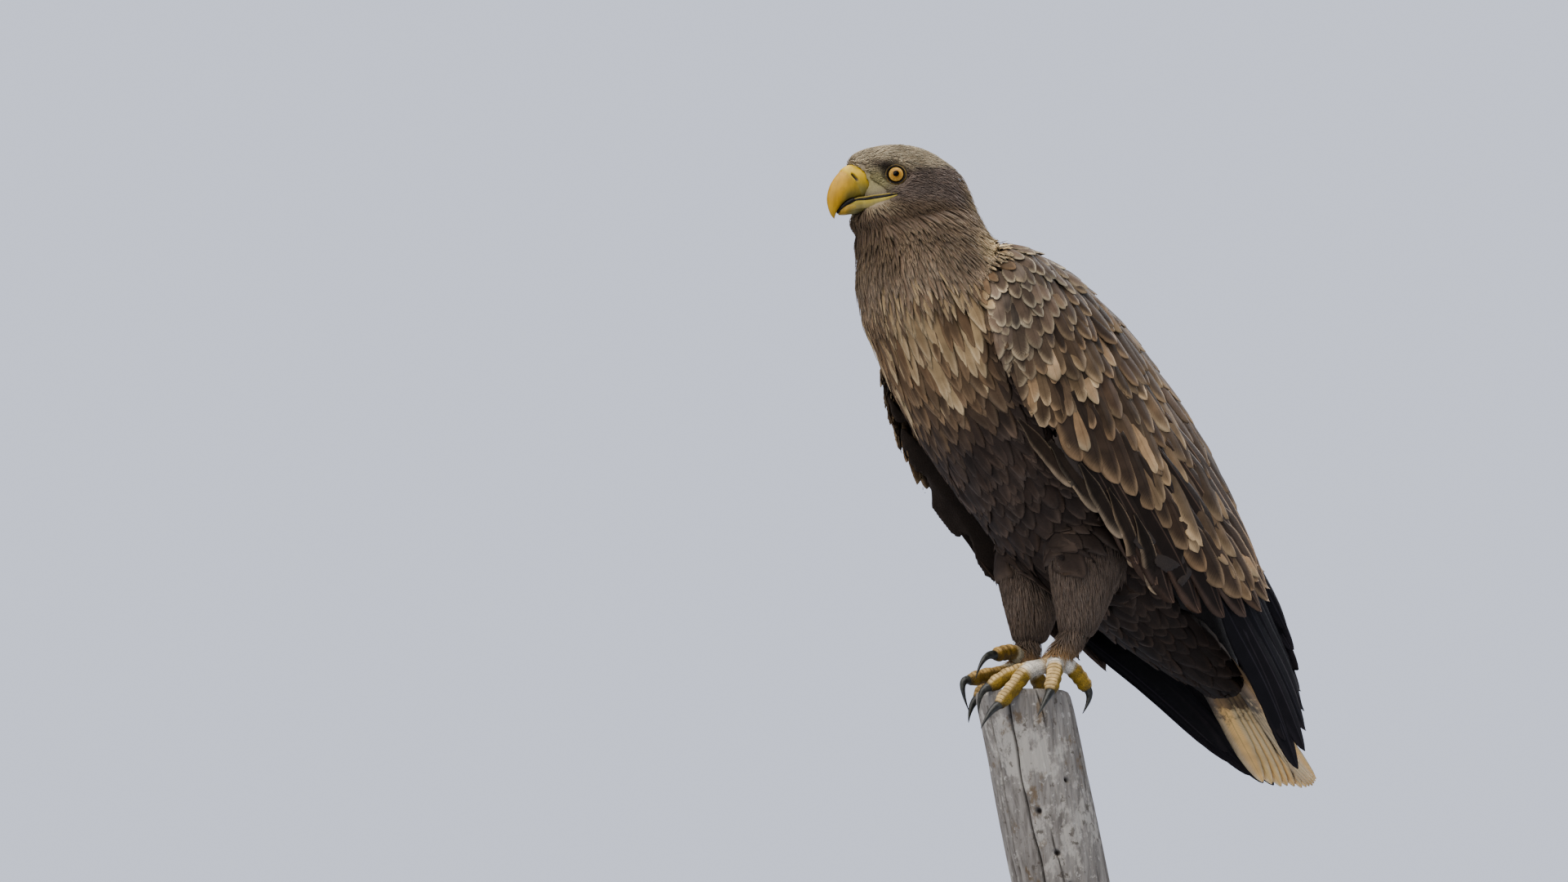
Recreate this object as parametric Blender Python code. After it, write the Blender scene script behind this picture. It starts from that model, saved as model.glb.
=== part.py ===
"""White-tailed eagle at rest on a cut length of snag, carried by a plain display stand.

The script's unit is the metre, with +Z up. The bird faces -Y and its left side is +X.
The origin is the centre of the stand base's underside. Lengths in the tables below are
millimetres, turned into metres by the three placing functions:
  bird_point  x, y, z from the point between the feet, on top of the perch
  body_point  distance along the sloping body (head negative, tail positive), distance out
              from the belly side towards the back, and distance to the bird's left
  head_point  distance ahead of the head's centre, above it, and to the bird's left
"""
import math

import bmesh
import bpy
import numpy as np
from mathutils import Vector

MM = 0.001
GAP = 0.3 * MM                       # clearance between neighbouring solids
WELD = 0.000002                      # corners closer than this are one corner
NEARLY_UPRIGHT = 0.2                 # below this, a rod's direction is too upright to cross with +Z
PERCH_TOP = 390.0                    # height of the perch's top above the floor
FEET = np.array((0.0, -30.0, PERCH_TOP))
BODY_SLOPE = math.radians(42.8)      # the body axis dips this much towards the tail
HEAD_CENTRE = np.array((-6.0, -175.0, 545.0))
HEAD_TURN = math.radians(9.0)        # the head looks this far to the bird's right
SIDES = (("left", 1.0), ("right", -1.0))

BASE_LENGTH = 420.0
BASE_WIDTH = 340.0
BASE_HEIGHT = 20.0
BASE_CORNER = 60.0
ROD_RADIUS = 7.0
ROD_SPACING = 46.0
ROD_DEPTH_IN_BASE = 12.0
ROD_DEPTH_IN_PERCH = 24.0

PERCH_LENGTH = 270.0
PERCH_RADIUS = 50.0
PERCH_TAPER = 0.00018                # the snag thickens by this share for each millimetre down
PERCH_TOP_CENTRE = np.array((0.0, -12.0, 0.0))
PERCH_LEAN = 0.25                    # the foot of the snag lies this far back per unit of height

EYE_RADIUS = 12.5
EYE_CENTRE = np.array((6.5, -2.0, 14.8))
ORBIT_RADIUS = 15.0
ORBIT_CENTRE = EYE_CENTRE + np.array((6.0, 0.0, 12.5))   # hollow in front of the eyeball


# ---------------------------------------------------------------- placing

def bird_point(x, y, z):
    return (np.array((x, y, z)) + FEET) * MM


def body_point(along, out, side):
    y = math.cos(BODY_SLOPE) * along + math.sin(BODY_SLOPE) * out
    z = -math.sin(BODY_SLOPE) * along + math.cos(BODY_SLOPE) * out
    return bird_point(side, y, z)


def head_point(ahead, above, side, turn=1.0):
    angle = HEAD_TURN * turn
    x = HEAD_CENTRE[0] * turn - math.sin(angle) * ahead + math.cos(angle) * side
    y = HEAD_CENTRE[1] - math.cos(angle) * ahead - math.sin(angle) * side
    return bird_point(x, y, HEAD_CENTRE[2] + above)


def smooth_rows(rows, count):
    """Rows read at even steps along smooth curves through the given ones."""
    rows = np.array(rows, float)
    last = len(rows) - 1
    result = []
    for step in range(count):
        place = last * step / (count - 1)
        start = min(int(place), last - 1)
        t = place - start
        before = rows[max(start - 1, 0)]
        here, after = rows[start], rows[start + 1]
        beyond = rows[min(start + 2, last)]
        result.append(0.5 * (2 * here + (after - before) * t
                             + (2 * before - 5 * here + 4 * after - beyond) * t ** 2
                             + (3 * here - before - 3 * after + beyond) * t ** 3))
    return np.array(result)


def smooth_step(low, high, value):
    t = min(max((value - low) / (high - low), 0.0), 1.0)
    return t * t * (3 - 2 * t)


# ---------------------------------------------------------------- mesh building

def new_object(name, vertices, faces):
    mesh = bpy.data.meshes.new(name)
    mesh.from_pydata([tuple(vertex) for vertex in vertices], [], faces)
    work = bmesh.new()
    work.from_mesh(mesh)
    bmesh.ops.recalc_face_normals(work, faces=work.faces)
    bmesh.ops.triangulate(work, faces=work.faces)
    work.to_mesh(mesh)
    work.free()
    mesh.shade_smooth()
    item = bpy.data.objects.new(name, mesh)
    bpy.context.scene.collection.objects.link(item)
    return item


def loft(name, rings):
    """A closed skin over rings of points, with flat ends."""
    rows, sides = len(rings), len(rings[0])
    vertices = [point for ring in rings for point in ring]
    faces = []
    for row in range(rows - 1):
        for side in range(sides):
            following = (side + 1) % sides
            faces.append((row * sides + side, row * sides + following,
                          (row + 1) * sides + following, (row + 1) * sides + side))
    faces.append(tuple(range(sides)))
    faces.append(tuple((rows - 1) * sides + side for side in range(sides)))
    return new_object(name, vertices, faces)


def ring_between(front, back, half_width, place, sides, squareness=2.0, narrow=0.0):
    """A rounded section that spans two points of the middle plane.

    place turns (first, second, side) into a position; narrow pinches the section towards
    the back point, and squareness above 2 makes it boxier.
    """
    front, back = np.array(front, float), np.array(back, float)
    ring = []
    for side in range(sides):
        angle = 2 * math.pi * side / sides
        c, s = math.cos(angle), math.sin(angle)
        reach = math.copysign(abs(c) ** (2 / squareness), c)
        spread = math.copysign(abs(s) ** (2 / squareness), s)
        middle = (front + back) / 2 + (back - front) / 2 * reach
        ring.append(place(middle[0], middle[1], half_width * spread * (1 - narrow * reach)))
    return ring


def tube(name, path, radii, sides):
    """A tapering round rod along a path of positions, both in metres."""
    path = np.array(path)
    rings = []
    for index, (point, radius) in enumerate(zip(path, radii)):
        ahead = path[min(index + 1, len(path) - 1)]
        behind = path[max(index - 1, 0)]
        forward = Vector(ahead - behind).normalized()
        across = forward.cross(Vector((0.0, 0.0, 1.0)))
        if across.length < NEARLY_UPRIGHT:
            across = Vector((1.0, 0.0, 0.0))
        across.normalize()
        over = across.cross(forward)
        ring = []
        for side in range(sides):
            angle = 2 * math.pi * side / sides
            offset = across * math.cos(angle) + over * math.sin(angle)
            ring.append(point + np.array(offset) * radius)
        rings.append(ring)
    return loft(name, rings)


def slab(name, outer, inner):
    """A closed thin body between two grids of positions."""
    rows, columns = len(outer), len(outer[0])
    vertices = [point for row in outer for point in row]
    vertices += [point for row in inner for point in row]
    under = rows * columns
    faces = []
    for row in range(rows - 1):
        for column in range(columns - 1):
            a = row * columns + column
            b, c, d = a + 1, a + columns + 1, a + columns
            faces.append((a, b, c, d))
            faces.append((under + d, under + c, under + b, under + a))
    rim = [column for column in range(columns)]
    rim += [row * columns + columns - 1 for row in range(1, rows)]
    rim += [(rows - 1) * columns + column for column in range(columns - 2, -1, -1)]
    rim += [row * columns for row in range(rows - 2, 0, -1)]
    for start, end in zip(rim, rim[1:] + rim[:1]):
        faces.append((start, end, under + end, under + start))
    return new_object(name, vertices, faces)


def grown_mesh(item, distance):
    """A copy of an object's mesh with its surface moved out by a distance."""
    mesh = item.data.copy()
    work = bmesh.new()
    work.from_mesh(mesh)
    work.normal_update()
    for vertex in work.verts:
        vertex.co += vertex.normal * distance
    work.to_mesh(mesh)
    work.free()
    return mesh


def apply_modifiers(item):
    graph = bpy.context.evaluated_depsgraph_get()
    mesh = bpy.data.meshes.new_from_object(item.evaluated_get(graph))
    item.modifiers.clear()
    item.data = mesh
    mesh.shade_smooth()


def make_room(item, neighbours, distance=GAP):
    """Cut an object back so that it clears each neighbour."""
    for neighbour in neighbours:
        cutter = bpy.data.objects.new("cutter", grown_mesh(neighbour, distance))
        bpy.context.scene.collection.objects.link(cutter)
        cutter.hide_render = True
        cutter.display_type = 'WIRE'
        boolean = item.modifiers.new("room", 'BOOLEAN')
        boolean.operation = 'DIFFERENCE'
        boolean.object = cutter
        apply_modifiers(item)
        keep_largest(item)
        bpy.data.objects.remove(cutter)


def keep_largest(item):
    """Drop the crumbs that a cut leaves beside the main body."""
    work = bmesh.new()
    work.from_mesh(item.data)
    bmesh.ops.remove_doubles(work, verts=work.verts, dist=WELD)
    bmesh.ops.dissolve_degenerate(work, edges=work.edges, dist=WELD)
    unseen = set(work.verts)
    shells = []
    while unseen:
        shell = {unseen.pop()}
        front = list(shell)
        while front:
            vertex = front.pop()
            for edge in vertex.link_edges:
                other = edge.other_vert(vertex)
                if other in unseen:
                    unseen.remove(other)
                    shell.add(other)
                    front.append(other)
        shells.append(shell)
    shells.sort(key=len)
    for shell in shells[:-1]:
        bmesh.ops.delete(work, geom=list(shell), context='VERTS')
    bmesh.ops.triangulate(work, faces=work.faces)
    work.to_mesh(item.data)
    work.free()


def slice_off(item, point, normal):
    """Keep the part of an object on the side that the normal points to."""
    work = bmesh.new()
    work.from_mesh(item.data)
    everything = work.verts[:] + work.edges[:] + work.faces[:]
    cut = bmesh.ops.bisect_plane(work, geom=everything, dist=0.000001, plane_co=point,
                                 plane_no=normal, clear_inner=True)
    rim = [part for part in cut["geom_cut"] if isinstance(part, bmesh.types.BMEdge)]
    bmesh.ops.edgeloop_fill(work, edges=rim)
    bmesh.ops.recalc_face_normals(work, faces=work.faces)
    bmesh.ops.triangulate(work, faces=work.faces)
    work.to_mesh(item.data)
    work.free()


def paint(item, colour, roughness=0.6, metallic=0.0):
    material = bpy.data.materials.new(item.name)
    material.use_nodes = True
    shader = material.node_tree.nodes["Principled BSDF"]
    shader.inputs["Base Color"].default_value = (*colour, 1.0)
    shader.inputs["Roughness"].default_value = roughness
    shader.inputs["Metallic"].default_value = metallic
    item.data.materials.clear()
    item.data.materials.append(material)


# ---------------------------------------------------------------- body

# along, belly-side edge, back-side edge, half width
TRUNK_ROWS = (
    (205.0, 196.0, 232.0, 30.0),
    (150.0, 172.0, 262.0, 40.0),
    (90.0, 148.0, 292.0, 52.0),
    (20.0, 128.0, 322.0, 68.0),
    (-60.0, 108.0, 346.0, 84.0),
    (-150.0, 102.0, 360.0, 96.0),
    (-240.0, 108.0, 362.0, 102.0),
    (-320.0, 122.0, 350.0, 98.0),
)
# front edge ahead and above, nape edge ahead and above, half width, share of the head's turn
NECK_ROWS = (
    (32.0, -142.0, -129.0, -84.0, 86.0, 0.2),
    (37.0, -105.0, -106.0, -58.0, 68.0, 0.5),
    (43.0, -77.0, -95.0, -31.0, 56.0, 0.8),
    (47.0, -59.0, -87.0, -9.0, 47.5, 0.95),
    (50.0, -50.0, -77.0, 9.0, 43.0, 1.0),
    (49.0, -47.0, -61.0, 23.0, 39.0, 1.0),
    (48.0, -46.0, -41.0, 33.0, 35.5, 1.0),
    (47.0, -45.0, -18.0, 38.0, 31.0, 1.0),
    (46.0, -44.0, 4.0, 37.0, 28.0, 1.0),
    (45.0, -43.0, 22.0, 33.0, 24.0, 1.0),
    (44.0, -42.0, 38.0, 28.0, 20.0, 1.0),
    (43.0, -41.0, 49.0, 22.5, 15.5, 1.0),
    (45.0, -24.0, 56.5, 15.5, 11.0, 1.0),
    (47.0, 0.0, 60.0, 8.5, 6.0, 1.0),
)
BODY_SIDES = 18
BODY_SECTIONS = 28


def body_rings():
    """Sections of trunk, neck and head, from the tail root to the bill."""
    rows = []
    for along, belly, back, half_width in TRUNK_ROWS:
        front = body_point(along, belly, 0.0)
        rear = body_point(along, back, 0.0)
        rows.append((*front, *rear, half_width, 0.0, 0.0))
    for ahead, above, nape_ahead, nape_above, half_width, turn in NECK_ROWS:
        front = head_point(ahead, above, 0.0, turn)
        rear = head_point(nape_ahead, nape_above, 0.0, turn)
        rows.append((*front, *rear, half_width, turn, 1.0 if turn == 1.0 else 0.0))
    rings = []
    for row in smooth_rows(rows, BODY_SECTIONS):
        front, rear = row[0:3], row[3:6]
        half_width, turn, headness = row[6:9]
        angle = HEAD_TURN * turn
        across = np.array((math.cos(angle), -math.sin(angle), 0.0))

        def place(first, second, side, front=front, rear=rear, across=across):
            share = (first + 1) / 2
            return front + (rear - front) * share + across * side * MM

        rings.append(ring_between((-1.0, 0.0), (1.0, 0.0), half_width, place, BODY_SIDES,
                                  2.25 + 0.45 * headness, 0.06 * headness))
    return rings


def make_body():
    """Trunk, neck and head as one shape, parted by two thin cuts."""
    throat = np.array(head_point(52.0, -62.0, 0.0))
    nape = np.array(head_point(-100.0, -14.0, 0.0))
    breast = np.array(bird_point(0.0, -214.0, 405.0))
    shoulders = np.array(bird_point(0.0, -20.0, 478.0))
    parts = []
    for name, planes in (("head", ((throat, nape, 1.0),)),
                         ("neck", ((throat, nape, -1.0), (breast, shoulders, 1.0))),
                         ("trunk", ((breast, shoulders, -1.0),))):
        part = loft(name, body_rings())
        for first, second, side in planes:
            run = second - first
            normal = Vector((0.0, -run[2], run[1])).normalized() * side
            slice_off(part, Vector(first) + normal * GAP / 2, normal)
        parts.append(part)
    return parts


# ---------------------------------------------------------------- head furniture

# culmen ahead and above, cutting edge ahead and above, half width
UPPER_BILL_ROWS = (
    (34.0, 9.0, 28.0, -26.0, 14.0),
    (46.0, 9.5, 41.0, -27.8, 14.5),
    (59.0, 6.5, 53.0, -29.8, 13.5),
    (69.0, -3.0, 61.0, -33.0, 11.5),
    (77.0, -15.0, 66.0, -37.5, 9.0),
    (81.0, -28.0, 69.5, -42.5, 6.5),
    (80.5, -38.0, 71.5, -46.5, 4.5),
    (77.5, -47.0, 72.5, -50.0, 2.4),
    (73.6, -52.0, 73.0, -52.4, 0.5),
)
LOWER_BILL_ROWS = (
    (26.0, -30.0, 26.0, -40.0, 12.5),
    (42.0, -31.0, 42.0, -42.5, 11.5),
    (54.0, -33.5, 53.0, -45.5, 9.5),
    (61.5, -38.0, 60.5, -47.5, 6.5),
    (67.0, -44.0, 66.5, -48.0, 2.6),
)
BALL_ROWS = 6
BALL_SIDES = 12


def make_bill(name, rows, count, narrow):
    rings = []
    for row in smooth_rows(rows, count):
        rings.append(ring_between(row[0:2], row[2:4], max(row[4], 0.4), head_point, 12, 2.2, narrow))
    return loft(name, rings)


def make_ball(name, centre, ball_radius, side):
    rings = []
    for row in range(1, BALL_ROWS):
        angle = math.pi * row / BALL_ROWS
        radius, height = ball_radius * math.sin(angle), ball_radius * math.cos(angle)
        ring = []
        for step in range(BALL_SIDES):
            turn = 2 * math.pi * step / BALL_SIDES
            ring.append(head_point(centre[0] + radius * math.cos(turn),
                                   centre[1] + radius * math.sin(turn),
                                   side * (centre[2] + height)))
        rings.append(ring)
    return loft(name, rings)


# ---------------------------------------------------------------- wings and tail

# lower edge along, out, side; back edge along, out, side; thickness
ARM_ROWS = (
    (-388.0, 230.0, 82.0, -390.0, 288.0, 52.0, 14.0),
    (-352.0, 190.0, 93.0, -364.0, 308.0, 44.0, 20.0),
    (-303.0, 165.0, 99.0, -300.0, 346.0, 36.0, 24.0),
    (-225.0, 150.0, 104.0, -212.0, 370.0, 30.0, 22.0),
    (-140.0, 146.0, 104.0, -120.0, 374.0, 28.0, 18.0),
    (-50.0, 156.0, 98.0, -30.0, 366.0, 30.0, 14.0),
    (40.0, 182.0, 90.0, 50.0, 344.0, 30.0, 10.0),
    (112.0, 232.0, 80.0, 106.0, 316.0, 32.0, 6.0),
)
HAND_ROWS = (
    (-40.0, 160.0, 78.0, -20.0, 280.0, 52.0, 9.0),
    (60.0, 178.0, 76.0, 70.0, 296.0, 30.0, 8.0),
    (140.0, 188.0, 76.0, 150.0, 304.0, 32.0, 7.0),
    (208.0, 188.0, 72.0, 212.0, 282.0, 40.0, 6.0),
    (260.0, 184.0, 67.0, 262.0, 244.0, 50.0, 4.0),
    (304.0, 180.0, 63.0, 302.0, 190.0, 60.0, 2.0),
)
# extra reach, lift of the arm's back edge, droop of the lower edge, rise of the wing tip and
# shift of the arm's back edge to the middle; the right wing is folded more loosely
WING_POSE = {"left": (0.0, 0.0, 0.0, 0.0, 0.0), "right": (42.0, 34.0, 36.0, 22.0, 22.0)}
ARM_SECTIONS, ARM_COLUMNS, ARM_BULGE = 15, 8, 26.0
HAND_SECTIONS, HAND_COLUMNS, HAND_BULGE = 22, 4, 12.0
ARM_SHOULDER = 2                     # sections of the arm ahead of its full width
FULL_WIDTH = 115.0                   # an arm narrower than this bulges less
ARM_ROUNDING = 34.0                  # the arm's rear end bulges back this far
HAND_TIPS = 7                        # stepped primary tips along the rear edge
TIP_STEP = 0.16                      # depth of each step, as a share of the hand's width
THIN_EDGE = 0.16                     # least thickness at an edge, as a share of the middle's


def posed_edges(row, share, pose, is_hand):
    """Lower and back edge of one section of a wing folded in the given way."""
    reach, lift, droop, rise, shift = pose
    low, high = row[0:3].copy(), row[3:6].copy()
    low[0] += reach * share
    high[0] += reach * share
    if is_hand:
        low[1] += rise * share ** 2 - droop * (1.0 - share ** 2)
        high[1] += rise * share ** 2
        saw = (share * HAND_TIPS) % 1.0
        high += (low - high) * TIP_STEP * (1.0 - saw) * (1.0 - share) * (share > 0.3)
    else:
        low[1] -= droop * smooth_step(-0.2, 0.5, share)
        high[1] += lift * smooth_step(0.4, 0.9, share)
        high[2] -= shift * smooth_step(0.3, 0.7, share)
    return low, high


def wing_grid(rows, count, columns, bulge, pose, side, is_hand):
    """Outer and inner faces of a folded wing; a hand's rear edge steps in from tip to tip."""
    outer, inner = [], []
    shoulder = 0 if is_hand else ARM_SHOULDER
    for index, row in enumerate(smooth_rows(rows, count)):
        share = max(0.0, (index - shoulder) / (count - 1 - shoulder))
        low, high = posed_edges(row, share, pose, is_hand)
        width = high[1] - low[1]
        swell = bulge if is_hand else bulge * min(1.0, width / FULL_WIDTH)
        first = low + np.array((0.0, 0.30 * width, swell * (1.0 - 0.55 * share)))
        second = high + np.array((0.0, 0.08 * width, 3.0 * swell * (1.0 - 0.72 * share)))
        outer_row, inner_row = [], []
        for column in range(columns):
            t = column / (columns - 1)
            point = ((1 - t) ** 3 * low + 3 * t * (1 - t) ** 2 * first
                     + 3 * t * t * (1 - t) * second + t ** 3 * high)
            slope = (3 * (1 - t) ** 2 * (first - low) + 6 * t * (1 - t) * (second - first)
                     + 3 * t * t * (high - second))
            depth = row[6] * max(THIN_EDGE, (4 * t * (1 - t)) ** 0.45)
            if not is_hand:
                point[0] += ARM_ROUNDING * share ** 4 * math.sin(math.pi * t)
                depth *= max(0.3, min(1.0, 0.35 + 3 * index / count))
            normal = np.array((0.0, slope[2], -slope[1]))
            under = point + normal / np.linalg.norm(normal) * depth
            outer_row.append(body_point(point[0], point[1], side * point[2]))
            inner_row.append(body_point(under[0], under[1], side * under[2]))
        outer.append(outer_row)
        inner.append(inner_row)
    return outer, inner


def make_wing(side_name, side):
    pose = WING_POSE[side_name]
    arm = slab("wing_" + side_name,
               *wing_grid(ARM_ROWS, ARM_SECTIONS, ARM_COLUMNS, ARM_BULGE, pose, side, False))
    hand = slab("primaries_" + side_name,
                *wing_grid(HAND_ROWS, HAND_SECTIONS, HAND_COLUMNS, HAND_BULGE, pose, side, True))
    make_room(hand, [arm])
    return arm, hand


TAIL_ROOT = 120.0
TAIL_END = 363.0
TAIL_WEDGE = 24.0                    # the outer feathers end this much short of the middle pair
TAIL_NOTCH = 7.0                     # depth of the step between neighbouring feathers
TAIL_FEATHERS = 12
TAIL_SECTIONS = 4


def make_tail():
    """Twelve overlapping feathers as one wedge, its end stepped from feather to feather."""
    columns = TAIL_FEATHERS * 2 + 1
    outer, inner = [], []
    for row in range(TAIL_SECTIONS):
        share = row / (TAIL_SECTIONS - 1)
        outer_row, inner_row = [], []
        for column in range(columns):
            across = 2 * column / (columns - 1) - 1
            notch = TAIL_NOTCH * (column % 2 == 0) * (0 < column < columns - 1)
            end = TAIL_END - TAIL_WEDGE * abs(across) ** 1.6 - notch
            along = TAIL_ROOT + (end - TAIL_ROOT) * share
            half_width = 26.0 + 24.0 * share
            rise = 8.0 * (1 - across * across)
            thickness = 7.0 - 5.0 * share
            out = 224.0 - 18.0 * share + rise
            side = half_width * across
            outer_row.append(body_point(along, out, side))
            inner_row.append(body_point(along, out - thickness, side))
        outer.append(outer_row)
        inner.append(inner_row)
    return slab("tail", outer, inner)


# ---------------------------------------------------------------- legs and feet

# x (outward), y, z of the centre, half depth, half width
THIGH_ROWS = (
    (32.0, 84.0, 240.0, 24.0, 14.0),
    (38.0, 70.0, 208.0, 50.0, 30.0),
    (43.0, 50.0, 165.0, 54.0, 33.0),
    (43.0, 42.0, 125.0, 44.0, 31.0),
    (41.0, 38.0, 88.0, 30.0, 25.0),
    (39.0, 32.0, 58.0, 19.0, 17.0),
)
ANKLE = {"left": (36.0, 2.0, 28.0), "right": (-36.0, 22.0, 36.0)}
# each toe: knuckles from the foot outwards, then the tip of the claw
TOES = {
    "left": {
        "inner": (((26.0, -22.0, 22.0), (14.0, -44.0, 14.0), (6.0, -62.0, 2.0)), (2.0, -74.0, -26.0)),
        "middle": (((33.0, -30.0, 19.0), (31.0, -51.0, -1.0), (30.0, -69.0, -19.0)), (28.0, -92.0, -44.0)),
        "outer": (((49.0, -7.0, 24.0), (57.0, -16.0, 10.0), (62.0, -25.0, -5.0)), (64.0, -45.0, -31.0)),
        "hind": (((40.0, 20.0, 26.0), (42.0, 34.0, 14.0), (44.0, 42.0, 2.0)), (45.0, 34.0, -24.0)),
    },
    "right": {
        "inner": (((-31.0, 4.0, 45.0), (-27.0, -14.0, 44.0), (-24.0, -30.0, 40.0)), (-22.0, -58.0, 14.0)),
        "middle": (((-40.0, 6.0, 25.0), (-45.0, -24.0, 20.0), (-48.0, -47.0, 14.0)), (-49.0, -46.0, -19.0)),
        "outer": (((-50.0, 6.0, 26.0), (-60.0, -10.0, 12.0), (-64.0, -22.0, -4.0)), (-65.0, -34.0, -30.0)),
        "hind": (((-39.0, 38.0, 26.0), (-40.0, 48.0, 10.0), (-41.0, 52.0, -6.0)), (-42.0, 38.0, -30.0)),
    },
}
THIGH_SECTIONS, THIGH_SIDES = 8, 13
TARSUS_SECTIONS, TARSUS_SIDES = 6, 9
TARSUS_RADII = (12.0, 12.5, 15.0, 10.0)
TOE_SECTIONS, TOE_SIDES = 7, 7
TOE_RADII = (10.5, 9.5, 9.2, 8.6, 7.2)
CLAW_SECTIONS, CLAW_SIDES = 6, 6
CLAW_RADIUS = 5.2
CLAW_TIP = 0.6


def make_leg(side_name, side):
    rings = []
    for x, y, z, half_depth, half_width in smooth_rows(THIGH_ROWS, THIGH_SECTIONS):
        ring = []
        for step in range(THIGH_SIDES):
            angle = 2 * math.pi * step / THIGH_SIDES
            ring.append(bird_point(side * (x + half_width * math.cos(angle)),
                                   y + half_depth * math.sin(angle), z))
        rings.append(ring)
    return loft("thigh_" + side_name, rings)


def make_tarsus(side_name, side):
    ankle = np.array(ANKLE[side_name])
    top = np.array((side * 41.0, 32.0, 66.0))
    shin = (top + ankle) / 2 + (0.0, 2.0, 0.0)
    path = smooth_rows((top, shin, ankle, ankle + (0.0, -6.0, -9.0)), TARSUS_SECTIONS)
    share = np.linspace(0, 1, TARSUS_SECTIONS)
    radii = np.interp(share, (0.0, 0.5, 0.8, 1.0), TARSUS_RADII) * MM
    return tube("tarsus_" + side_name, [bird_point(*point) for point in path], radii, TARSUS_SIDES)


def make_toe(name, ankle, knuckles):
    path = smooth_rows((ankle, *knuckles), TOE_SECTIONS)
    radii = np.interp(np.linspace(0, 1, TOE_SECTIONS), (0, 0.3, 0.6, 0.85, 1.0), TOE_RADII) * MM
    return tube(name, [bird_point(*point) for point in path], radii, TOE_SIDES)


def make_claw(name, knuckles, tip):
    """A sickle from the last knuckle, rising a little before it curves down to its tip."""
    start, tip = np.array(knuckles[-1]), np.array(tip)
    heading = start - np.array(knuckles[-2])
    heading /= np.linalg.norm(heading)
    reach = np.linalg.norm(tip - start)
    control = start + heading * reach * 0.5 + np.array((0.0, 0.0, 0.22 * reach))
    path, radii = [], []
    for step in range(CLAW_SECTIONS):
        t = step / (CLAW_SECTIONS - 1)
        path.append(bird_point(*((1 - t) ** 2 * start + 2 * t * (1 - t) * control + t * t * tip)))
        radii.append((CLAW_RADIUS * (1 - t ** 1.3) + CLAW_TIP) * MM)
    return tube(name, path, radii, CLAW_SIDES)


# ---------------------------------------------------------------- perch and stand

def perch_centre(depth):
    """Middle of the snag at a depth below its top."""
    return PERCH_TOP_CENTRE + np.array((0.0, PERCH_LEAN * depth, -depth))


# depth below the top and share of the full radius there
PERCH_RINGS = ((0.0, 0.55), (1.5, 0.86), (6.0, 0.97), (20.0, 1.0), (60.0, 1.0), (110.0, 1.0), (160.0, 1.0),
               (215.0, 1.0), (PERCH_LENGTH, 1.0))
PERCH_SIDES = 18
ROD_SIDES = 14


def make_perch():
    """A weathered snag, a little out of round, its top worn to a shallow dome."""
    rings = []
    for depth, full in PERCH_RINGS:
        centre = perch_centre(depth)
        ring = []
        for step in range(PERCH_SIDES):
            angle = 2 * math.pi * step / PERCH_SIDES
            wave = 1.0 + 0.020 * math.sin(2 * angle + 0.6 + depth * 0.004)
            wave += 0.014 * math.sin(5 * angle + depth * 0.012)
            wave += 0.010 * math.sin(3 * angle - depth * 0.02)
            radius = PERCH_RADIUS * (1.0 + PERCH_TAPER * depth) * wave * full
            ring.append(bird_point(centre[0] + radius * math.cos(angle),
                                   centre[1] + radius * math.sin(angle), centre[2]))
        rings.append(ring)
    return loft("perch", rings)


def make_base():
    half_width, half_length = BASE_WIDTH / 2 * MM, BASE_LENGTH / 2 * MM
    corner, height = BASE_CORNER * MM, BASE_HEIGHT * MM
    outline = []
    for middle_x, middle_y, start in ((1, 1, 0.0), (-1, 1, 0.5), (-1, -1, 1.0), (1, -1, 1.5)):
        for step in range(5):
            angle = math.pi * (start + 0.5 * step / 4)
            outline.append((middle_x * (half_width - corner) + corner * math.cos(angle),
                            middle_y * (half_length - corner) + corner * math.sin(angle)))
    rings = []
    for level, inset in ((0.0, 0.0), (height - 3 * MM, 0.0), (height - 1 * MM, 1 * MM), (height, 3 * MM)):
        ring = []
        for x, y in outline:
            reach = math.hypot(x, y)
            ring.append((x * (1 - inset / reach), y * (1 - inset / reach), level))
        rings.append(ring)
    return loft("stand_base", rings)


def make_rod(name, x, y):
    bottom = (BASE_HEIGHT - ROD_DEPTH_IN_BASE) * MM
    top = (PERCH_TOP - PERCH_LENGTH + ROD_DEPTH_IN_PERCH) * MM
    rings = []
    for level in (bottom, top):
        ring = []
        for step in range(ROD_SIDES):
            angle = 2 * math.pi * step / ROD_SIDES
            ring.append((x * MM + ROD_RADIUS * MM * math.cos(angle),
                         y * MM + ROD_RADIUS * MM * math.sin(angle), level))
        rings.append(ring)
    return loft(name, rings)


# ---------------------------------------------------------------- colours

BROWN = (0.10, 0.07, 0.05)
DARK = (0.045, 0.037, 0.033)
GREY_BROWN = (0.20, 0.15, 0.11)
CREAM = (0.62, 0.52, 0.36)
YELLOW = (0.66, 0.42, 0.09)
BLACK = (0.02, 0.02, 0.02)
WOOD = (0.28, 0.26, 0.24)


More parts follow.
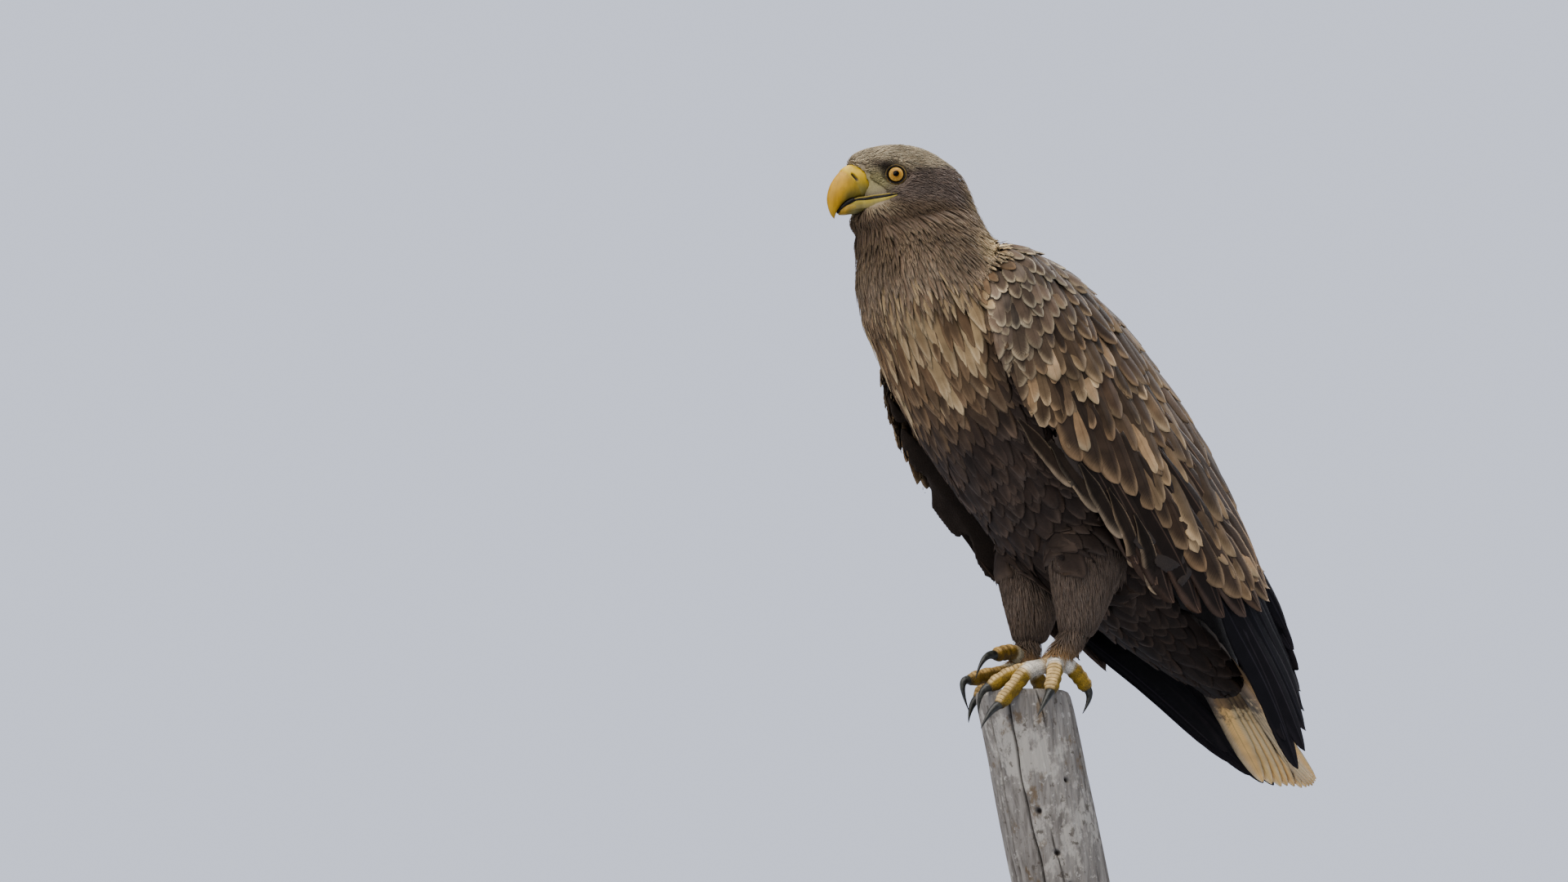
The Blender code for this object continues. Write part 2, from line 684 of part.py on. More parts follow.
def main():
    for item in list(bpy.data.objects):
        bpy.data.objects.remove(item)

    head, neck, trunk = make_body()
    upper = make_bill("bill_upper", UPPER_BILL_ROWS, 15, -0.22)
    lower = make_bill("bill_lower", LOWER_BILL_ROWS, 8, -0.1)
    eyes = [make_ball("eye_" + name, EYE_CENTRE, EYE_RADIUS, side) for name, side in SIDES]
    orbits = [make_ball("orbit", ORBIT_CENTRE, ORBIT_RADIUS, side) for name, side in SIDES]
    make_room(lower, [upper])
    make_room(head, [upper, lower, *orbits, *eyes])
    for orbit in orbits:
        bpy.data.objects.remove(orbit)
    for item in (upper, lower):
        paint(item, YELLOW, 0.35)
    for item in eyes:
        paint(item, (0.50, 0.33, 0.10), 0.1)

    arms, hands = zip(*[make_wing(name, side) for name, side in SIDES])
    tail = make_tail()
    thighs = [make_leg(name, side) for name, side in SIDES]
    make_room(trunk, [*arms, *hands, tail, *thighs])
    make_room(neck, arms)
    for thigh in thighs:
        make_room(thigh, [*arms, *hands])
    paint(head, GREY_BROWN)
    paint(neck, GREY_BROWN)
    paint(trunk, BROWN)
    paint(tail, CREAM)
    for item in (*arms, *thighs):
        paint(item, BROWN)
    for item in hands:
        paint(item, DARK)

    base = make_base()
    perch = make_perch()
    foot_of_perch = perch_centre(PERCH_LENGTH) + FEET
    rods = [make_rod("stand_rod_" + name, foot_of_perch[0] + side * ROD_SPACING / 2, foot_of_perch[1])
            for name, side in SIDES]
    make_room(perch, rods, GAP)
    make_room(base, rods, GAP)
    paint(base, (0.05, 0.05, 0.055), 0.45)
    paint(perch, WOOD, 0.85)
    for rod in rods:
        paint(rod, (0.55, 0.55, 0.56), 0.3, 1.0)

    for (side_name, side), thigh in zip(SIDES, thighs):
        tarsus = make_tarsus(side_name, side)
        make_room(tarsus, [thigh, perch])
        paint(tarsus, YELLOW, 0.5)
        ankle = np.array(ANKLE[side_name])
        solid = [tarsus, perch]
        for toe_name, (knuckles, tip) in TOES[side_name].items():
            toe = make_toe("toe_%s_%s" % (side_name, toe_name), ankle, knuckles)
            make_room(toe, solid)
            claw = make_claw("claw_%s_%s" % (side_name, toe_name), knuckles, tip)
            make_room(claw, [toe, *solid])
            paint(toe, YELLOW, 0.5)
            paint(claw, BLACK, 0.25)
            solid += [toe, claw]


main()
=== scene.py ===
"""Looks of the perched white-tailed eagle: one skin, its plumage, bill, eyes, feet, snag and stand.

The unit is the metre, with +Z up. Places along the body are given in millimetres in two frames:
  body  distance along the sloping body (tail positive), out from the belly towards the back,
        and to the bird's left
  head  distance ahead of the head's centre, above it, and to the bird's left
"""
import math

import bmesh
import bpy
import mathutils.noise
import numpy as np
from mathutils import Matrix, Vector
from mathutils.bvhtree import BVHTree
from mathutils.kdtree import KDTree


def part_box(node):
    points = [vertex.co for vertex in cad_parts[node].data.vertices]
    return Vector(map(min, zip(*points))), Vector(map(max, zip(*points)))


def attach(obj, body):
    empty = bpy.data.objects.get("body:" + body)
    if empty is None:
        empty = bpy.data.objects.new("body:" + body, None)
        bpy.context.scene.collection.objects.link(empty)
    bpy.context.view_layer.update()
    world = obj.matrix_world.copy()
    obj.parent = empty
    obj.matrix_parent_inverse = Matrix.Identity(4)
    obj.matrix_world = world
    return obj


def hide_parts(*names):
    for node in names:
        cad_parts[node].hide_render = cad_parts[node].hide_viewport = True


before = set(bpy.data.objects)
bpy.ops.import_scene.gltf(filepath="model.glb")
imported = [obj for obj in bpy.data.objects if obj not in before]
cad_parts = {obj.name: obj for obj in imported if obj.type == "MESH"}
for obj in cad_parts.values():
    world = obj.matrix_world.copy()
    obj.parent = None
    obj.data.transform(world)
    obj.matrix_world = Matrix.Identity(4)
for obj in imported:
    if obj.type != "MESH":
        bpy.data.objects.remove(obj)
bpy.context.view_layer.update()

MM = 0.001
SIDES = (("left", 1.0), ("right", -1.0))

# ---------------------------------------------------------------- the frames of body and head

BODY_SLOPE = math.radians(42.8)
SNAG_FOOT_BEHIND = 55.5 * MM         # the rods stand this far behind the point between the feet
EYE_AHEAD, EYE_ABOVE = 6.5, -2.0     # the eyes' place in the head's own frame


def middle_of(node):
    low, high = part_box(node)
    return np.array((low + high) / 2)


FEET = np.array((0.0, middle_of("stand_rod_left")[1] - SNAG_FOOT_BEHIND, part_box("perch")[1].z))
BODY_AXES = np.array(((0.0, math.cos(BODY_SLOPE), -math.sin(BODY_SLOPE)),
                      (0.0, math.sin(BODY_SLOPE), math.cos(BODY_SLOPE)),
                      (1.0, 0.0, 0.0)))
EYE_LINE = middle_of("eye_left") - middle_of("eye_right")
HEAD_ACROSS = EYE_LINE / np.linalg.norm(EYE_LINE)
HEAD_AXES = np.array((np.cross((0.0, 0.0, 1.0), HEAD_ACROSS) * -1.0, (0.0, 0.0, 1.0), HEAD_ACROSS))
HEAD = ((middle_of("eye_left") + middle_of("eye_right")) / 2
        - (HEAD_AXES[0] * EYE_AHEAD + HEAD_AXES[1] * EYE_ABOVE) * MM)


def body_place(along, out, side):
    return FEET + np.stack(np.broadcast_arrays(along, out, side), -1) @ BODY_AXES * MM


def head_place(ahead, above, side):
    return HEAD + np.stack(np.broadcast_arrays(ahead, above, side), -1) @ HEAD_AXES * MM


def in_body(points):
    return ((points - FEET) @ BODY_AXES.T / MM).T


def in_head(points):
    return ((points - HEAD) @ HEAD_AXES.T / MM).T


def head_points(places):
    """World places of an array of places in the head's frame."""
    return HEAD + places.reshape(-1, 3) @ HEAD_AXES * MM


def ease(low, high, value):
    """0 up to low, 1 from high on, and a smooth rise between; falls where high is below low."""
    t = np.clip((value - low) / (high - low), 0.0, 1.0)
    return t * t * (3 - 2 * t)


def blend(first, second, share):
    return first + (second - first) * share


def unit(vectors):
    return vectors / np.maximum(np.linalg.norm(vectors, axis=-1, keepdims=True), 1e-12)


def smooth_rows(rows, count):
    """Rows read at even steps along smooth curves through the given ones."""
    rows = np.array(rows, float)
    last = len(rows) - 1
    place = np.linspace(0, last, count)
    start = np.minimum(place.astype(int), last - 1)
    t = (place - start)[:, None]
    before, here = rows[np.maximum(start - 1, 0)], rows[start]
    after, beyond = rows[start + 1], rows[np.minimum(start + 2, last)]
    return 0.5 * (2 * here + (after - before) * t
                  + (2 * before - 5 * here + 4 * after - beyond) * t ** 2
                  + (3 * here - before - 3 * after + beyond) * t ** 3)


# ---------------------------------------------------------------- colours and node materials

def colour(code):
    """A linear colour from a screen colour such as "7a6a59"."""
    value = np.array([int(code[i:i + 2], 16) for i in (0, 2, 4)]) / 255
    return np.where(value <= 0.04045, value / 12.92, ((value + 0.055) / 1.055) ** 2.4)


class Finish:
    """A node material, with short calls for the nodes that the finishes below share."""

    def __init__(self, name, roughness=0.6, **settings):
        self.material = bpy.data.materials.new(name)
        self.material.use_nodes = True
        self.tree = self.material.node_tree
        self.shader = self.tree.nodes["Principled BSDF"]
        self.shader.inputs["Roughness"].default_value = roughness
        for key, value in settings.items():
            self.shader.inputs[key.replace("_", " ")].default_value = value
        self.place = self.add("ShaderNodeTexCoord").outputs["Object"]

    def add(self, kind, inputs=(), **settings):
        """A node with its settings, and values or sockets for its inputs, by name or number."""
        node = self.tree.nodes.new(kind)
        for key, value in settings.items():
            setattr(node, key, value)
        for key, value in dict(inputs).items():
            self.wire(value, node.inputs[key])
        return node

    def wire(self, value, socket):
        if isinstance(value, bpy.types.NodeSocket):
            self.tree.links.new(value, socket)
        elif socket.type == 'RGBA':
            value = value[:3] if hasattr(value, "__len__") else (value, value, value)
            socket.default_value = (*value, 1.0)
        else:
            socket.default_value = value

    def sum(self, kind, first, second=0.0, third=0.0):
        return self.add("ShaderNodeMath", enumerate((first, second, third)), operation=kind).outputs[0]

    def product(self, first, *others):
        for other in others:
            first = self.sum('MULTIPLY', first, other)
        return first

    def share(self, value, low, high, start=0.0, end=1.0):
        """From start to end, smoothly, as the value goes from low to high."""
        inputs = enumerate((value, low, high, start, end))
        return self.add("ShaderNodeMapRange", inputs, interpolation_type='SMOOTHSTEP').outputs[0]

    def tone(self, noise, start, end):
        return self.share(noise, 0.3, 0.7, start, end)

    def mix(self, share, first, second, kind='MIX'):
        inputs = {0: share, 6: first, 7: second}
        return self.add("ShaderNodeMix", inputs, data_type='RGBA', blend_type=kind).outputs[2]

    def two_tone(self, noise, first, second):
        return self.mix(self.share(noise, 0.3, 0.7), colour(first), colour(second))

    def number(self, name):
        return self.add("ShaderNodeAttribute", attribute_name=name).outputs["Fac"]

    def tint(self, name):
        return self.add("ShaderNodeAttribute", attribute_name=name).outputs["Color"]

    def noise(self, scale, detail=4.0, stretch=None, roughness=0.55):
        place = self.place
        if stretch is not None:
            place = self.add("ShaderNodeMapping", {"Vector": place, "Scale": stretch}).outputs[0]
        inputs = {"Scale": scale, "Detail": detail, "Roughness": roughness, "Vector": place}
        return self.add("ShaderNodeTexNoise", inputs).outputs["Fac"]

    def line_noise(self, value, scale):
        inputs = {"Scale": scale, "Detail": 2.0, "W": value}
        return self.add("ShaderNodeTexNoise", inputs, noise_dimensions='1D').outputs["Fac"]

    def cells(self, scale):
        return self.add("ShaderNodeTexVoronoi", {"Scale": scale, "Vector": self.place}).outputs["Distance"]

    def bump(self, height, distance, strength=1.0):
        node = self.add("ShaderNodeBump", {"Height": height, "Distance": distance, "Strength": strength})
        self.tree.links.new(node.outputs[0], self.shader.inputs["Normal"])

    def shaded(self, base, shade, roughness=None):
        return self.paint(self.mix(1.0, base, shade, 'MULTIPLY'), roughness)

    def paint(self, base, roughness=None):
        self.wire(base, self.shader.inputs["Base Color"])
        if roughness is not None:
            self.wire(roughness, self.shader.inputs["Roughness"])
        return self.material


def feather_finish(name, rim_start, rim_end, gloss, root, shaft, fray, mottle, barbs):
    """Vanes darker at the root, partly their own darker bases and partly painted shade for the gaps under
    overlapping vanes, with a paler soft rim, uneven barbs and a thin shaft.
    """
    f = Finish(name, roughness=gloss, Specular_IOR_Level=0.07)
    along, width = f.number("along"), f.sum('ABSOLUTE', f.number("across"))
    streak = f.line_noise(f.number("barb"), 0.9)
    patch = f.noise(60.0, 4.0)
    edge = f.sum('ADD', f.sum('POWER', width, 2.0), f.sum('POWER', along, 3.5))
    edge = f.sum('MULTIPLY_ADD', f.sum('SUBTRACT', streak, 0.5), fray, edge)
    base = f.mix(f.share(edge, rim_start, rim_end), f.tint("core"), f.tint("rim"))
    f.bump(streak, 0.0003, 0.4)
    # painted shade: each vane darkens towards its root, partly its own darker base and partly shade standing in
    # for the gaps under overlapping vanes
    return f.shaded(base, f.product(
        f.share(along, 0.0, 0.6, root, 1.0), f.tone(streak, 1 - barbs, 1 + barbs),
        f.share(patch, 0.25, 0.75, 1 - mottle, 1 + mottle), f.share(width, 0.02, 0.09, shaft, 1.0)))


def skin_finish():
    f = Finish("skin", roughness=0.75, Specular_IOR_Level=0.25)
    fine = f.noise(500.0, 6.0)
    broad = f.noise(90.0, 4.0)
    both = f.sum('MULTIPLY_ADD', broad, 0.5, f.sum('MULTIPLY', fine, 0.5))
    f.bump(fine, 0.0008, 0.7)
    return f.shaded(f.tint("core"), f.tone(both, 0.75, 1.15))


def horn_finish(name, gloss):
    """Bill and cere: smooth horn coloured by the mesh's own marks, with faint growth streaks."""
    f = Finish(name, roughness=gloss, Specular_IOR_Level=0.14)
    streak = f.noise(160.0, 5.0, (1.0, 1.0, 0.35))
    fine = f.noise(900.0, 3.0)
    rough = f.tone(fine, gloss * 0.8, gloss * 1.3)
    f.bump(f.sum('MULTIPLY_ADD', fine, 0.4, streak), 0.0003, 0.5)
    return f.shaded(f.tint("core"), f.tone(streak, 0.78, 1.12), rough)


# angles from the line of sight, in degrees, where the parts of the eye end
PUPIL_EDGE, IRIS_EDGE = 15.0, 37.0
BACKDROP = (0.87, 0.93, 1.12)        # the plain sky, which the floor's own light matches
AMBIENT = 0.42                       # the share of the sky's brightness that lights the bird


def eye_finish():
    f = Finish("eye", roughness=0.08, Specular_IOR_Level=0.06)
    angle = f.number("angle")
    fibre = f.noise(700.0, 4.0)
    iris = f.mix(f.share(angle, PUPIL_EDGE, IRIS_EDGE), colour("96691f"), colour("bb8f40"))
    iris = f.mix(1.0, iris, f.tone(fibre, 0.66, 1.15), 'MULTIPLY')
    iris = f.mix(f.share(angle, PUPIL_EDGE - 0.9, PUPIL_EDGE + 1.1), colour("030303"), iris)
    return f.paint(f.mix(f.share(angle, IRIS_EDGE - 1.0, IRIS_EDGE + 2.0), iris, colour("0d0a07")))


def foot_finish():
    """Toes: small round scales, with broad plates on top where the mesh marks them."""
    f = Finish("foot", roughness=0.62, Specular_IOR_Level=0.22)
    grain = f.cells(950.0)
    broad = f.noise(110.0, 4.0)
    bare = f.sum('SUBTRACT', 1.0, f.number("scute"))
    shade = f.sum('MULTIPLY_ADD', f.share(grain, 0.15, 0.75, 0.12, -0.45), bare, 1.0)
    f.bump(f.product(f.sum('SUBTRACT', 1.0, grain), bare), 0.0006, 0.9)
    return f.shaded(f.tint("core"), f.product(shade, f.share(broad, 0.35, 0.65, 0.62, 1.15)))


def claw_finish():
    f = Finish("claw", roughness=0.40, Specular_IOR_Level=0.35)
    streak = f.noise(260.0, 4.0)
    base = f.mix(f.share(streak, 0.35, 0.75), colour("171713"), colour("33332b"))
    f.bump(streak, 0.0003, 0.5)
    return f.paint(base, f.tone(streak, 0.32, 0.50))


def snag_finish():
    """Sun-bleached grey wood: vertical grain, stained, lichened patches, and cracks and holes darkened as
    painted shade.
    """
    f = Finish("snag_wood", roughness=0.85, Specular_IOR_Level=0.2)
    grain = f.noise(150.0, 8.0, (1.0, 1.0, 0.05), 0.65)
    fibre = f.noise(620.0, 5.0, (1.0, 1.0, 0.04), 0.6)
    patch = f.noise(17.0, 7.0, (1.0, 1.0, 0.6), 0.7)
    stain = f.noise(30.0, 6.0, (1.0, 1.0, 0.6), 0.7)
    spot = f.noise(95.0, 5.0, None, 0.65)
    base = f.two_tone(grain, "56504a", "8f8981")
    for value, low, high, most, code in (
            (fibre, 0.3, 0.8, 0.6, "7b756d"), (patch, 0.52, 0.58, 0.75, "a9a398"),
            (stain, 0.56, 0.64, 0.75, "5d4b33"), (spot, 0.60, 0.66, 0.7, "453d33"),
            (spot, 0.40, 0.34, 0.6, "b5b0a6")):
        base = f.mix(f.share(value, low, high, 0.0, most), base, colour(code))
    # painted shade: cracks and holes darken towards near black with how deep in them a point lies
    base = f.mix(f.number("hollow"), base, colour("1f1a15"))
    relief = f.sum('MULTIPLY_ADD', patch, 2.0, f.sum('MULTIPLY_ADD', fibre, 0.5, grain))
    f.bump(relief, 0.0014, 0.9)
    return f.paint(base, f.tone(grain, 0.75, 0.95))


def base_finish():
    f = Finish("base_wood", roughness=0.4, Coat_Weight=0.25, Coat_Roughness=0.25)
    grain = f.noise(45.0, 8.0, (1.0, 0.06, 1.0), 0.6)
    pore = f.noise(500.0, 3.0, (1.0, 0.05, 1.0))
    base = f.two_tone(grain, "2a1d14", "4b3423")
    base = f.mix(f.share(pore, 0.58, 0.72, 0.0, 0.6), base, colour("1a120c"))
    f.bump(f.sum('MULTIPLY_ADD', pore, -0.6, grain), 0.0003, 0.4)
    return f.paint(base, f.tone(grain, 0.30, 0.48))


def steel_finish():
    f = Finish("brushed_steel", roughness=0.3, Metallic=1.0)
    brush = f.noise(900.0, 4.0, (1.0, 1.0, 0.03))
    base = f.two_tone(brush, "9a9b9c", "bcbdbe")
    f.bump(brush, 0.0001, 0.3)
    return f.paint(base, f.tone(brush, 0.24, 0.4))


def floor_finish():
    """A pale floor with a little light of its own, so that it stays pale far from the lamps."""
    f = Finish("pale_floor", roughness=0.9, Emission_Strength=0.70)
    f.shader.inputs["Emission Color"].default_value = (*BACKDROP, 1.0)
    speck = f.noise(30.0, 4.0)
    return f.paint(f.two_tone(speck, "6b7076", "72777d"))


# ---------------------------------------------------------------- meshes from arrays

def place_object(name, data):
    """A new object in the scene."""
    item = bpy.data.objects.new(name, data)
    bpy.context.scene.collection.objects.link(item)
    return item


def dress(piece, finish, replaced=()):
    """Give a piece its finish and its slot, and hide the CAD nodes that it replaces."""
    piece.data.materials.clear()
    piece.data.materials.append(finish)
    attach(piece, "root")
    if replaced:
        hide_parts(*replaced)
    return piece


def mesh_from(work, name):
    """A mesh from a bmesh, which is freed."""
    mesh = bpy.data.meshes.new(name)
    work.to_mesh(mesh)
    work.free()
    return mesh


def welded(node):
    """A CAD node's mesh as a bmesh whose faces share their corners."""
    work = bmesh.new()
    work.from_mesh(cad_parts[node].data)
    bmesh.ops.remove_doubles(work, verts=work.verts, dist=0.005 * MM)
    return work


def new_piece(name, vertices, faces, finish, attributes=(), replaced=()):
    """A smooth piece from arrays; faces is a list of arrays, each of faces with one number of corners."""
    mesh = bpy.data.meshes.new(name)
    mesh.vertices.add(len(vertices))
    mesh.vertices.foreach_set("co", np.asarray(vertices, np.float32).ravel())
    corners = np.concatenate([np.asarray(group).ravel() for group in faces])
    totals = np.concatenate([np.full(len(group), group.shape[1]) for group in faces])
    mesh.loops.add(len(corners))
    mesh.loops.foreach_set("vertex_index", corners.astype(np.int32))
    mesh.polygons.add(len(totals))
    mesh.polygons.foreach_set("loop_start", np.concatenate(([0], np.cumsum(totals)[:-1])).astype(np.int32))
    mesh.polygons.foreach_set("loop_total", totals.astype(np.int32))
    mesh.polygons.foreach_set("use_smooth", np.full(len(totals), True))
    mesh.update(calc_edges=True)
    mesh.validate()
    for key, values in attributes:
        mark(mesh, key, values)
    return dress(place_object(name, mesh), finish, replaced)


def mark(mesh, key, values):
    """Store one number or one colour for each vertex."""
    values = np.asarray(values, np.float32)
    if values.ndim == 1:
        mesh.attributes.new(key, 'FLOAT', 'POINT').data.foreach_set("value", values)
        return
    full = np.ones((len(values), 4), np.float32)
    full[:, :3] = values
    mesh.attributes.new(key, 'FLOAT_COLOR', 'POINT').data.foreach_set("color", full.ravel())


def grid_faces(rows, columns, wrap):
    """Four-cornered faces over a grid of points, closed round its columns where wrap is true."""
    row, column = np.meshgrid(np.arange(rows - 1), np.arange(columns if wrap else columns - 1), indexing="ij")
    following = (column + 1) % columns
    corners = (row * columns + column, row * columns + following,
               (row + 1) * columns + following, (row + 1) * columns + column)
    return np.stack(corners, -1).reshape(-1, 4)


def closed_faces(rows, columns):
    """Faces of a closed tube over rows of points, with an end face on each end."""
    first = np.arange(columns)[None, ::-1]
    last = np.arange((rows - 1) * columns, rows * columns)[None, :]
    return [grid_faces(rows, columns, True), first, last]


def mesh_arrays(mesh):
    """Points, smooth normals and triangles of a mesh."""
    mesh.calc_loop_triangles()
    arrays = []
    for items, key, kind in ((mesh.vertices, "co", np.float32), (mesh.vertex_normals, "vector", np.float32),
                             (mesh.loop_triangles, "vertices", np.int32)):
        values = np.zeros(len(items) * 3, kind)
        items.foreach_get(key, values)
        arrays.append(values.reshape(-1, 3))
    return arrays[0].astype(float), arrays[1].astype(float), arrays[2]


class Guide:
    """A surface that feathers lie on."""

    def __init__(self, points, normals, triangles):
        self.points, self.normals, self.triangles = points, normals, triangles
        self.tree = BVHTree.FromPolygons(points.tolist(), triangles.tolist())

    def centres(self):
        return self.points[self.triangles].mean(1)

    def facing(self, pick):
        """Smooth normals at the middles of triangles."""
        return unit(self.normals[self.triangles[pick]].mean(1))

    def nearest(self, places):
        """Nearest places on the surface, the smooth normals there, and the triangles they are in."""
        found = [self.tree.find_nearest(place) for place in places.tolist()]
        spots = np.array([item[0] for item in found])
        index = np.array([item[2] for item in found])
        corners = self.triangles[index]
        a, b, c = self.points[corners[:, 0]], self.points[corners[:, 1]], self.points[corners[:, 2]]
        edge, other, reach = b - a, c - a, spots - a
        dot = lambda p, q: (p * q).sum(1)
        ee, eo, oo = dot(edge, edge), dot(edge, other), dot(other, other)
        re, ro = dot(reach, edge), dot(reach, other)
        scale = np.maximum(ee * oo - eo * eo, 1e-20)
        second = np.clip((oo * re - eo * ro) / scale, 0, 1)
        third = np.clip((ee * ro - eo * re) / scale, 0, 1)
        weights = np.stack((np.clip(1 - second - third, 0, 1), second, third), 1)
        return spots, unit((self.normals[corners] * weights[:, :, None]).sum(1)), index

    def scatter(self, spacing, dice, crowd=9):
        """Evenly spread places and their triangles, further apart where spacing is larger.

        The spacing is in metres, one for each triangle; nothing lands where it is 0. About crowd
        places for each one kept are thrown, and each place kept clears the others round it.
        """
        a, b, c = (self.points[self.triangles[:, i]] for i in range(3))
        area = np.linalg.norm(np.cross(b - a, c - a), axis=1) / 2
        density = np.where(spacing > 0, area / np.maximum(spacing, 1e-6) ** 2, 0)
        count = int(crowd * density.sum())
        pick = dice.choice(len(area), count, p=density / density.sum())
        first, second = dice.random(count), dice.random(count)
        flip = first + second > 1
        first[flip], second[flip] = 1 - first[flip], 1 - second[flip]
        places = a[pick] + (b - a)[pick] * first[:, None] + (c - a)[pick] * second[:, None]
        reach = spacing[pick]
        tree = KDTree(count)
        for index, place in enumerate(places.tolist()):
            tree.insert(place, index)
        tree.balance()
        free = np.ones(count, bool)
        kept = []
        for index in range(count):
            if free[index]:
                kept.append(index)
                for _, other, _ in tree.find_range(places[index], reach[index]):
                    free[other] = False
        kept = np.array(kept)
        return places[kept], pick[kept]


def joined_guide(meshes):
    """One guide over several meshes, with the number of the mesh that each triangle belongs to."""
    points, normals, triangles, owner, offset = [], [], [], [], 0
    for index, mesh in enumerate(meshes):
        spots, ways, corners = mesh_arrays(mesh)
        points.append(spots)
        normals.append(ways)
        triangles.append(corners + offset)
        owner.append(np.full(len(corners), index))
        offset += len(spots)
    guide = Guide(*(np.concatenate(arrays) for arrays in (points, normals, triangles)))
    return guide, np.concatenate(owner)


# ---------------------------------------------------------------- plumage

def vane_outline(share, root, widest, sharpness):
    """Half width of a vane, 0 to 1, along its length."""
    rise = root + (1 - root) * ease(0.0, 0.35, share)
    taper = np.clip((share - widest) / (1 - widest), 0, 1)
    return rise * np.maximum(1 - taper ** sharpness, 0.0) ** (1 / 1.6)


# rows along the vane, points across its top, root width, where it is widest, sharpness, cupping, ridge
STYLES = {
    "hair": (4, 3, 0.50, 0.20, 1.2, 0.10, 0.05),
    "lance": (6, 3, 0.40, 0.30, 1.4, 0.07, 0.03),
    "plume": (10, 5, 0.40, 0.50, 1.9, 0.08, 0.02),
    "covert": (14, 9, 0.50, 0.60, 2.2, 0.10, 0.02),
}
BAKE_PATCH = 0.003                   # size of one vane's patch on the skin's map
SPLIT_ODDS = 0.02                    # how often a row of a vane's edge is notched


def uneven_edges(count, rows, dice):
    """How far each side of each row reaches: a little ragged, with a notch here and there."""
    ragged = 1 + 0.035 * dice.standard_normal((count, rows, 2))
    notch = dice.random((count, rows, 2)) < SPLIT_ODDS
    return np.where(notch, ragged * (0.62 + 0.25 * dice.random((count, rows, 2))), ragged)


def two_sided(across, values):
    """Values for the vane's two sides, one column of points after another."""
    return values[:, :, np.where(across < 0, 0, 1)]


def grow_vanes(guide, roots, normals, lies, lengths, widths, style, dice, rise, sink, flare=0.0):
    """Vanes that follow the guide, with the marks that the finishes read.

    A vane leaves its root at height sink and ends at height rise over the guide, all in metres;
    flare lifts its last third further.
    """
    rows, tops, root, widest, sharpness, cup, ridge = STYLES[style]
    count = len(roots)
    share = 1 - (1 - np.linspace(0, 1, rows)) ** 1.35
    across = np.linspace(-1, 1, tops)
    half = vane_outline(share, root, widest, sharpness)
    half[-1] = 0.05
    t, long, wide = share[None, :, None], lengths[:, None, None], widths[:, None, None]
    ragged = two_sided(across, uneven_edges(count, rows, dice))
    spread = half[None, :, None] * across * ragged * wide / 2
    drift = 0.05 * dice.standard_normal(count)[:, None, None] * long * t ** 2
    forward = t * long - 0.10 * np.abs(spread) * t
    binormal = unit(np.cross(normals, lies))
    flat = (roots[:, None, None] + lies[:, None, None] * forward[..., None]
            + binormal[:, None, None] * (spread + drift)[..., None]).reshape(-1, 3)
    for _ in range(2):
        spots, facing, _ = guide.nearest(flat)
        flat = flat - facing * ((flat - spots) * facing).sum(1)[:, None]
    facing, flat = (item.reshape(count, rows, tops, 3) for item in (facing, flat))
    swell = sink[:, None] + (rise - sink)[:, None] * (1 - (1 - share) ** 1.6)
    swell = swell + np.reshape(flare * np.ones(count), (-1, 1)) * share ** 3
    roll = 0.07 * dice.standard_normal(count)[:, None, None]
    height = (swell[:, :, None] - cup * wide * half[None, :, None] * across ** 2
              + ridge * wide * (1 - np.abs(across)) ** 2 + roll * spread)
    top = flat + facing * height[..., None]
    middle = tops // 2
    thick = np.maximum(0.035 * widths, 0.25 * MM)[:, None] * (0.3 + 0.7 * half)
    under = top[:, :, middle] - facing[:, :, middle] * (thick + ridge * widths[:, None])[..., None]
    return vane_batch(top, under, share, across, lengths, widths, dice)


def tinted(batch, key, count, dice, amounts, shifts=(), dark=None):
    """Give vanes a heart and a rim in a pair of colours, shifted towards others, darkened as painted shade by
    dark where it is given, and each varied a little.
    """
    for name, part, amount in (("core", "", amounts[0]), ("rim", "_rim", amounts[1])):
        tint = np.broadcast_to(PALETTE[key + part], (count, 3))
        tint = layered(tint, shifts, lambda other: PALETTE[other + part])
        if dark is not None:
            tint = tint * dark[:, None]
        batch[name] = vary(tint, dice, amount)


def vane_batch(top, under, share, across, lengths, widths, dice):
    """Vanes from their top points and the line below, with how far along and across them each point
    lies, and its place on the barbs.
    """
    places = np.concatenate((top, under[:, :, None]), 2)
    shape = places.shape[:3]
    along = np.broadcast_to(share[None, :, None], shape)
    crosswise = np.broadcast_to(np.append(across, 0.0), shape)
    start = 1000.0 * dice.random(shape[0])[:, None, None]
    barb = start + (along * lengths[:, None, None] - 0.3 * np.abs(crosswise) * widths[:, None, None]) / MM
    return {"places": places, "along": along, "across": crosswise, "barb": barb}


def vanes_to_piece(name, batches, finish, replaced=()):
    """Join batches of vanes into one piece, with the map for the bake."""
    vertices, groups, marks, maps, offset = [], {}, {}, [], 0
    for batch in batches:
        count, rows, columns, _ = batch["places"].shape
        size = rows * columns
        starts = offset + np.arange(count) * size
        for group in closed_faces(rows, columns):
            corners = group.shape[1]
            groups.setdefault(corners, []).append((starts[:, None, None] + group[None]).reshape(-1, corners))
        vertices.append(batch["places"].reshape(-1, 3))
        for key in ("along", "across", "barb"):
            marks.setdefault(key, []).append(batch[key].reshape(-1))
        for key in ("core", "rim"):
            marks.setdefault(key, []).append(np.repeat(batch[key], size, 0))
        patch = np.stack((batch["along"], (batch["across"] + 1) / 2), -1).reshape(-1, 2) * BAKE_PATCH
        maps.append(np.repeat(batch["map"], size, 0) + patch)
        offset += count * size
    faces = [np.concatenate(group) for group in groups.values()]
    attributes = [(key, np.concatenate(values)) for key, values in marks.items()]
    piece = new_piece(name, np.concatenate(vertices), faces, finish, attributes, replaced)
    layer = piece.data.uv_layers.new(name="OFBake")
    corners = np.zeros(len(piece.data.loops), np.int32)
    piece.data.loops.foreach_get("vertex_index", corners)
    layer.data.foreach_set("uv", np.concatenate(maps)[corners].astype(np.float32).ravel())
    return piece


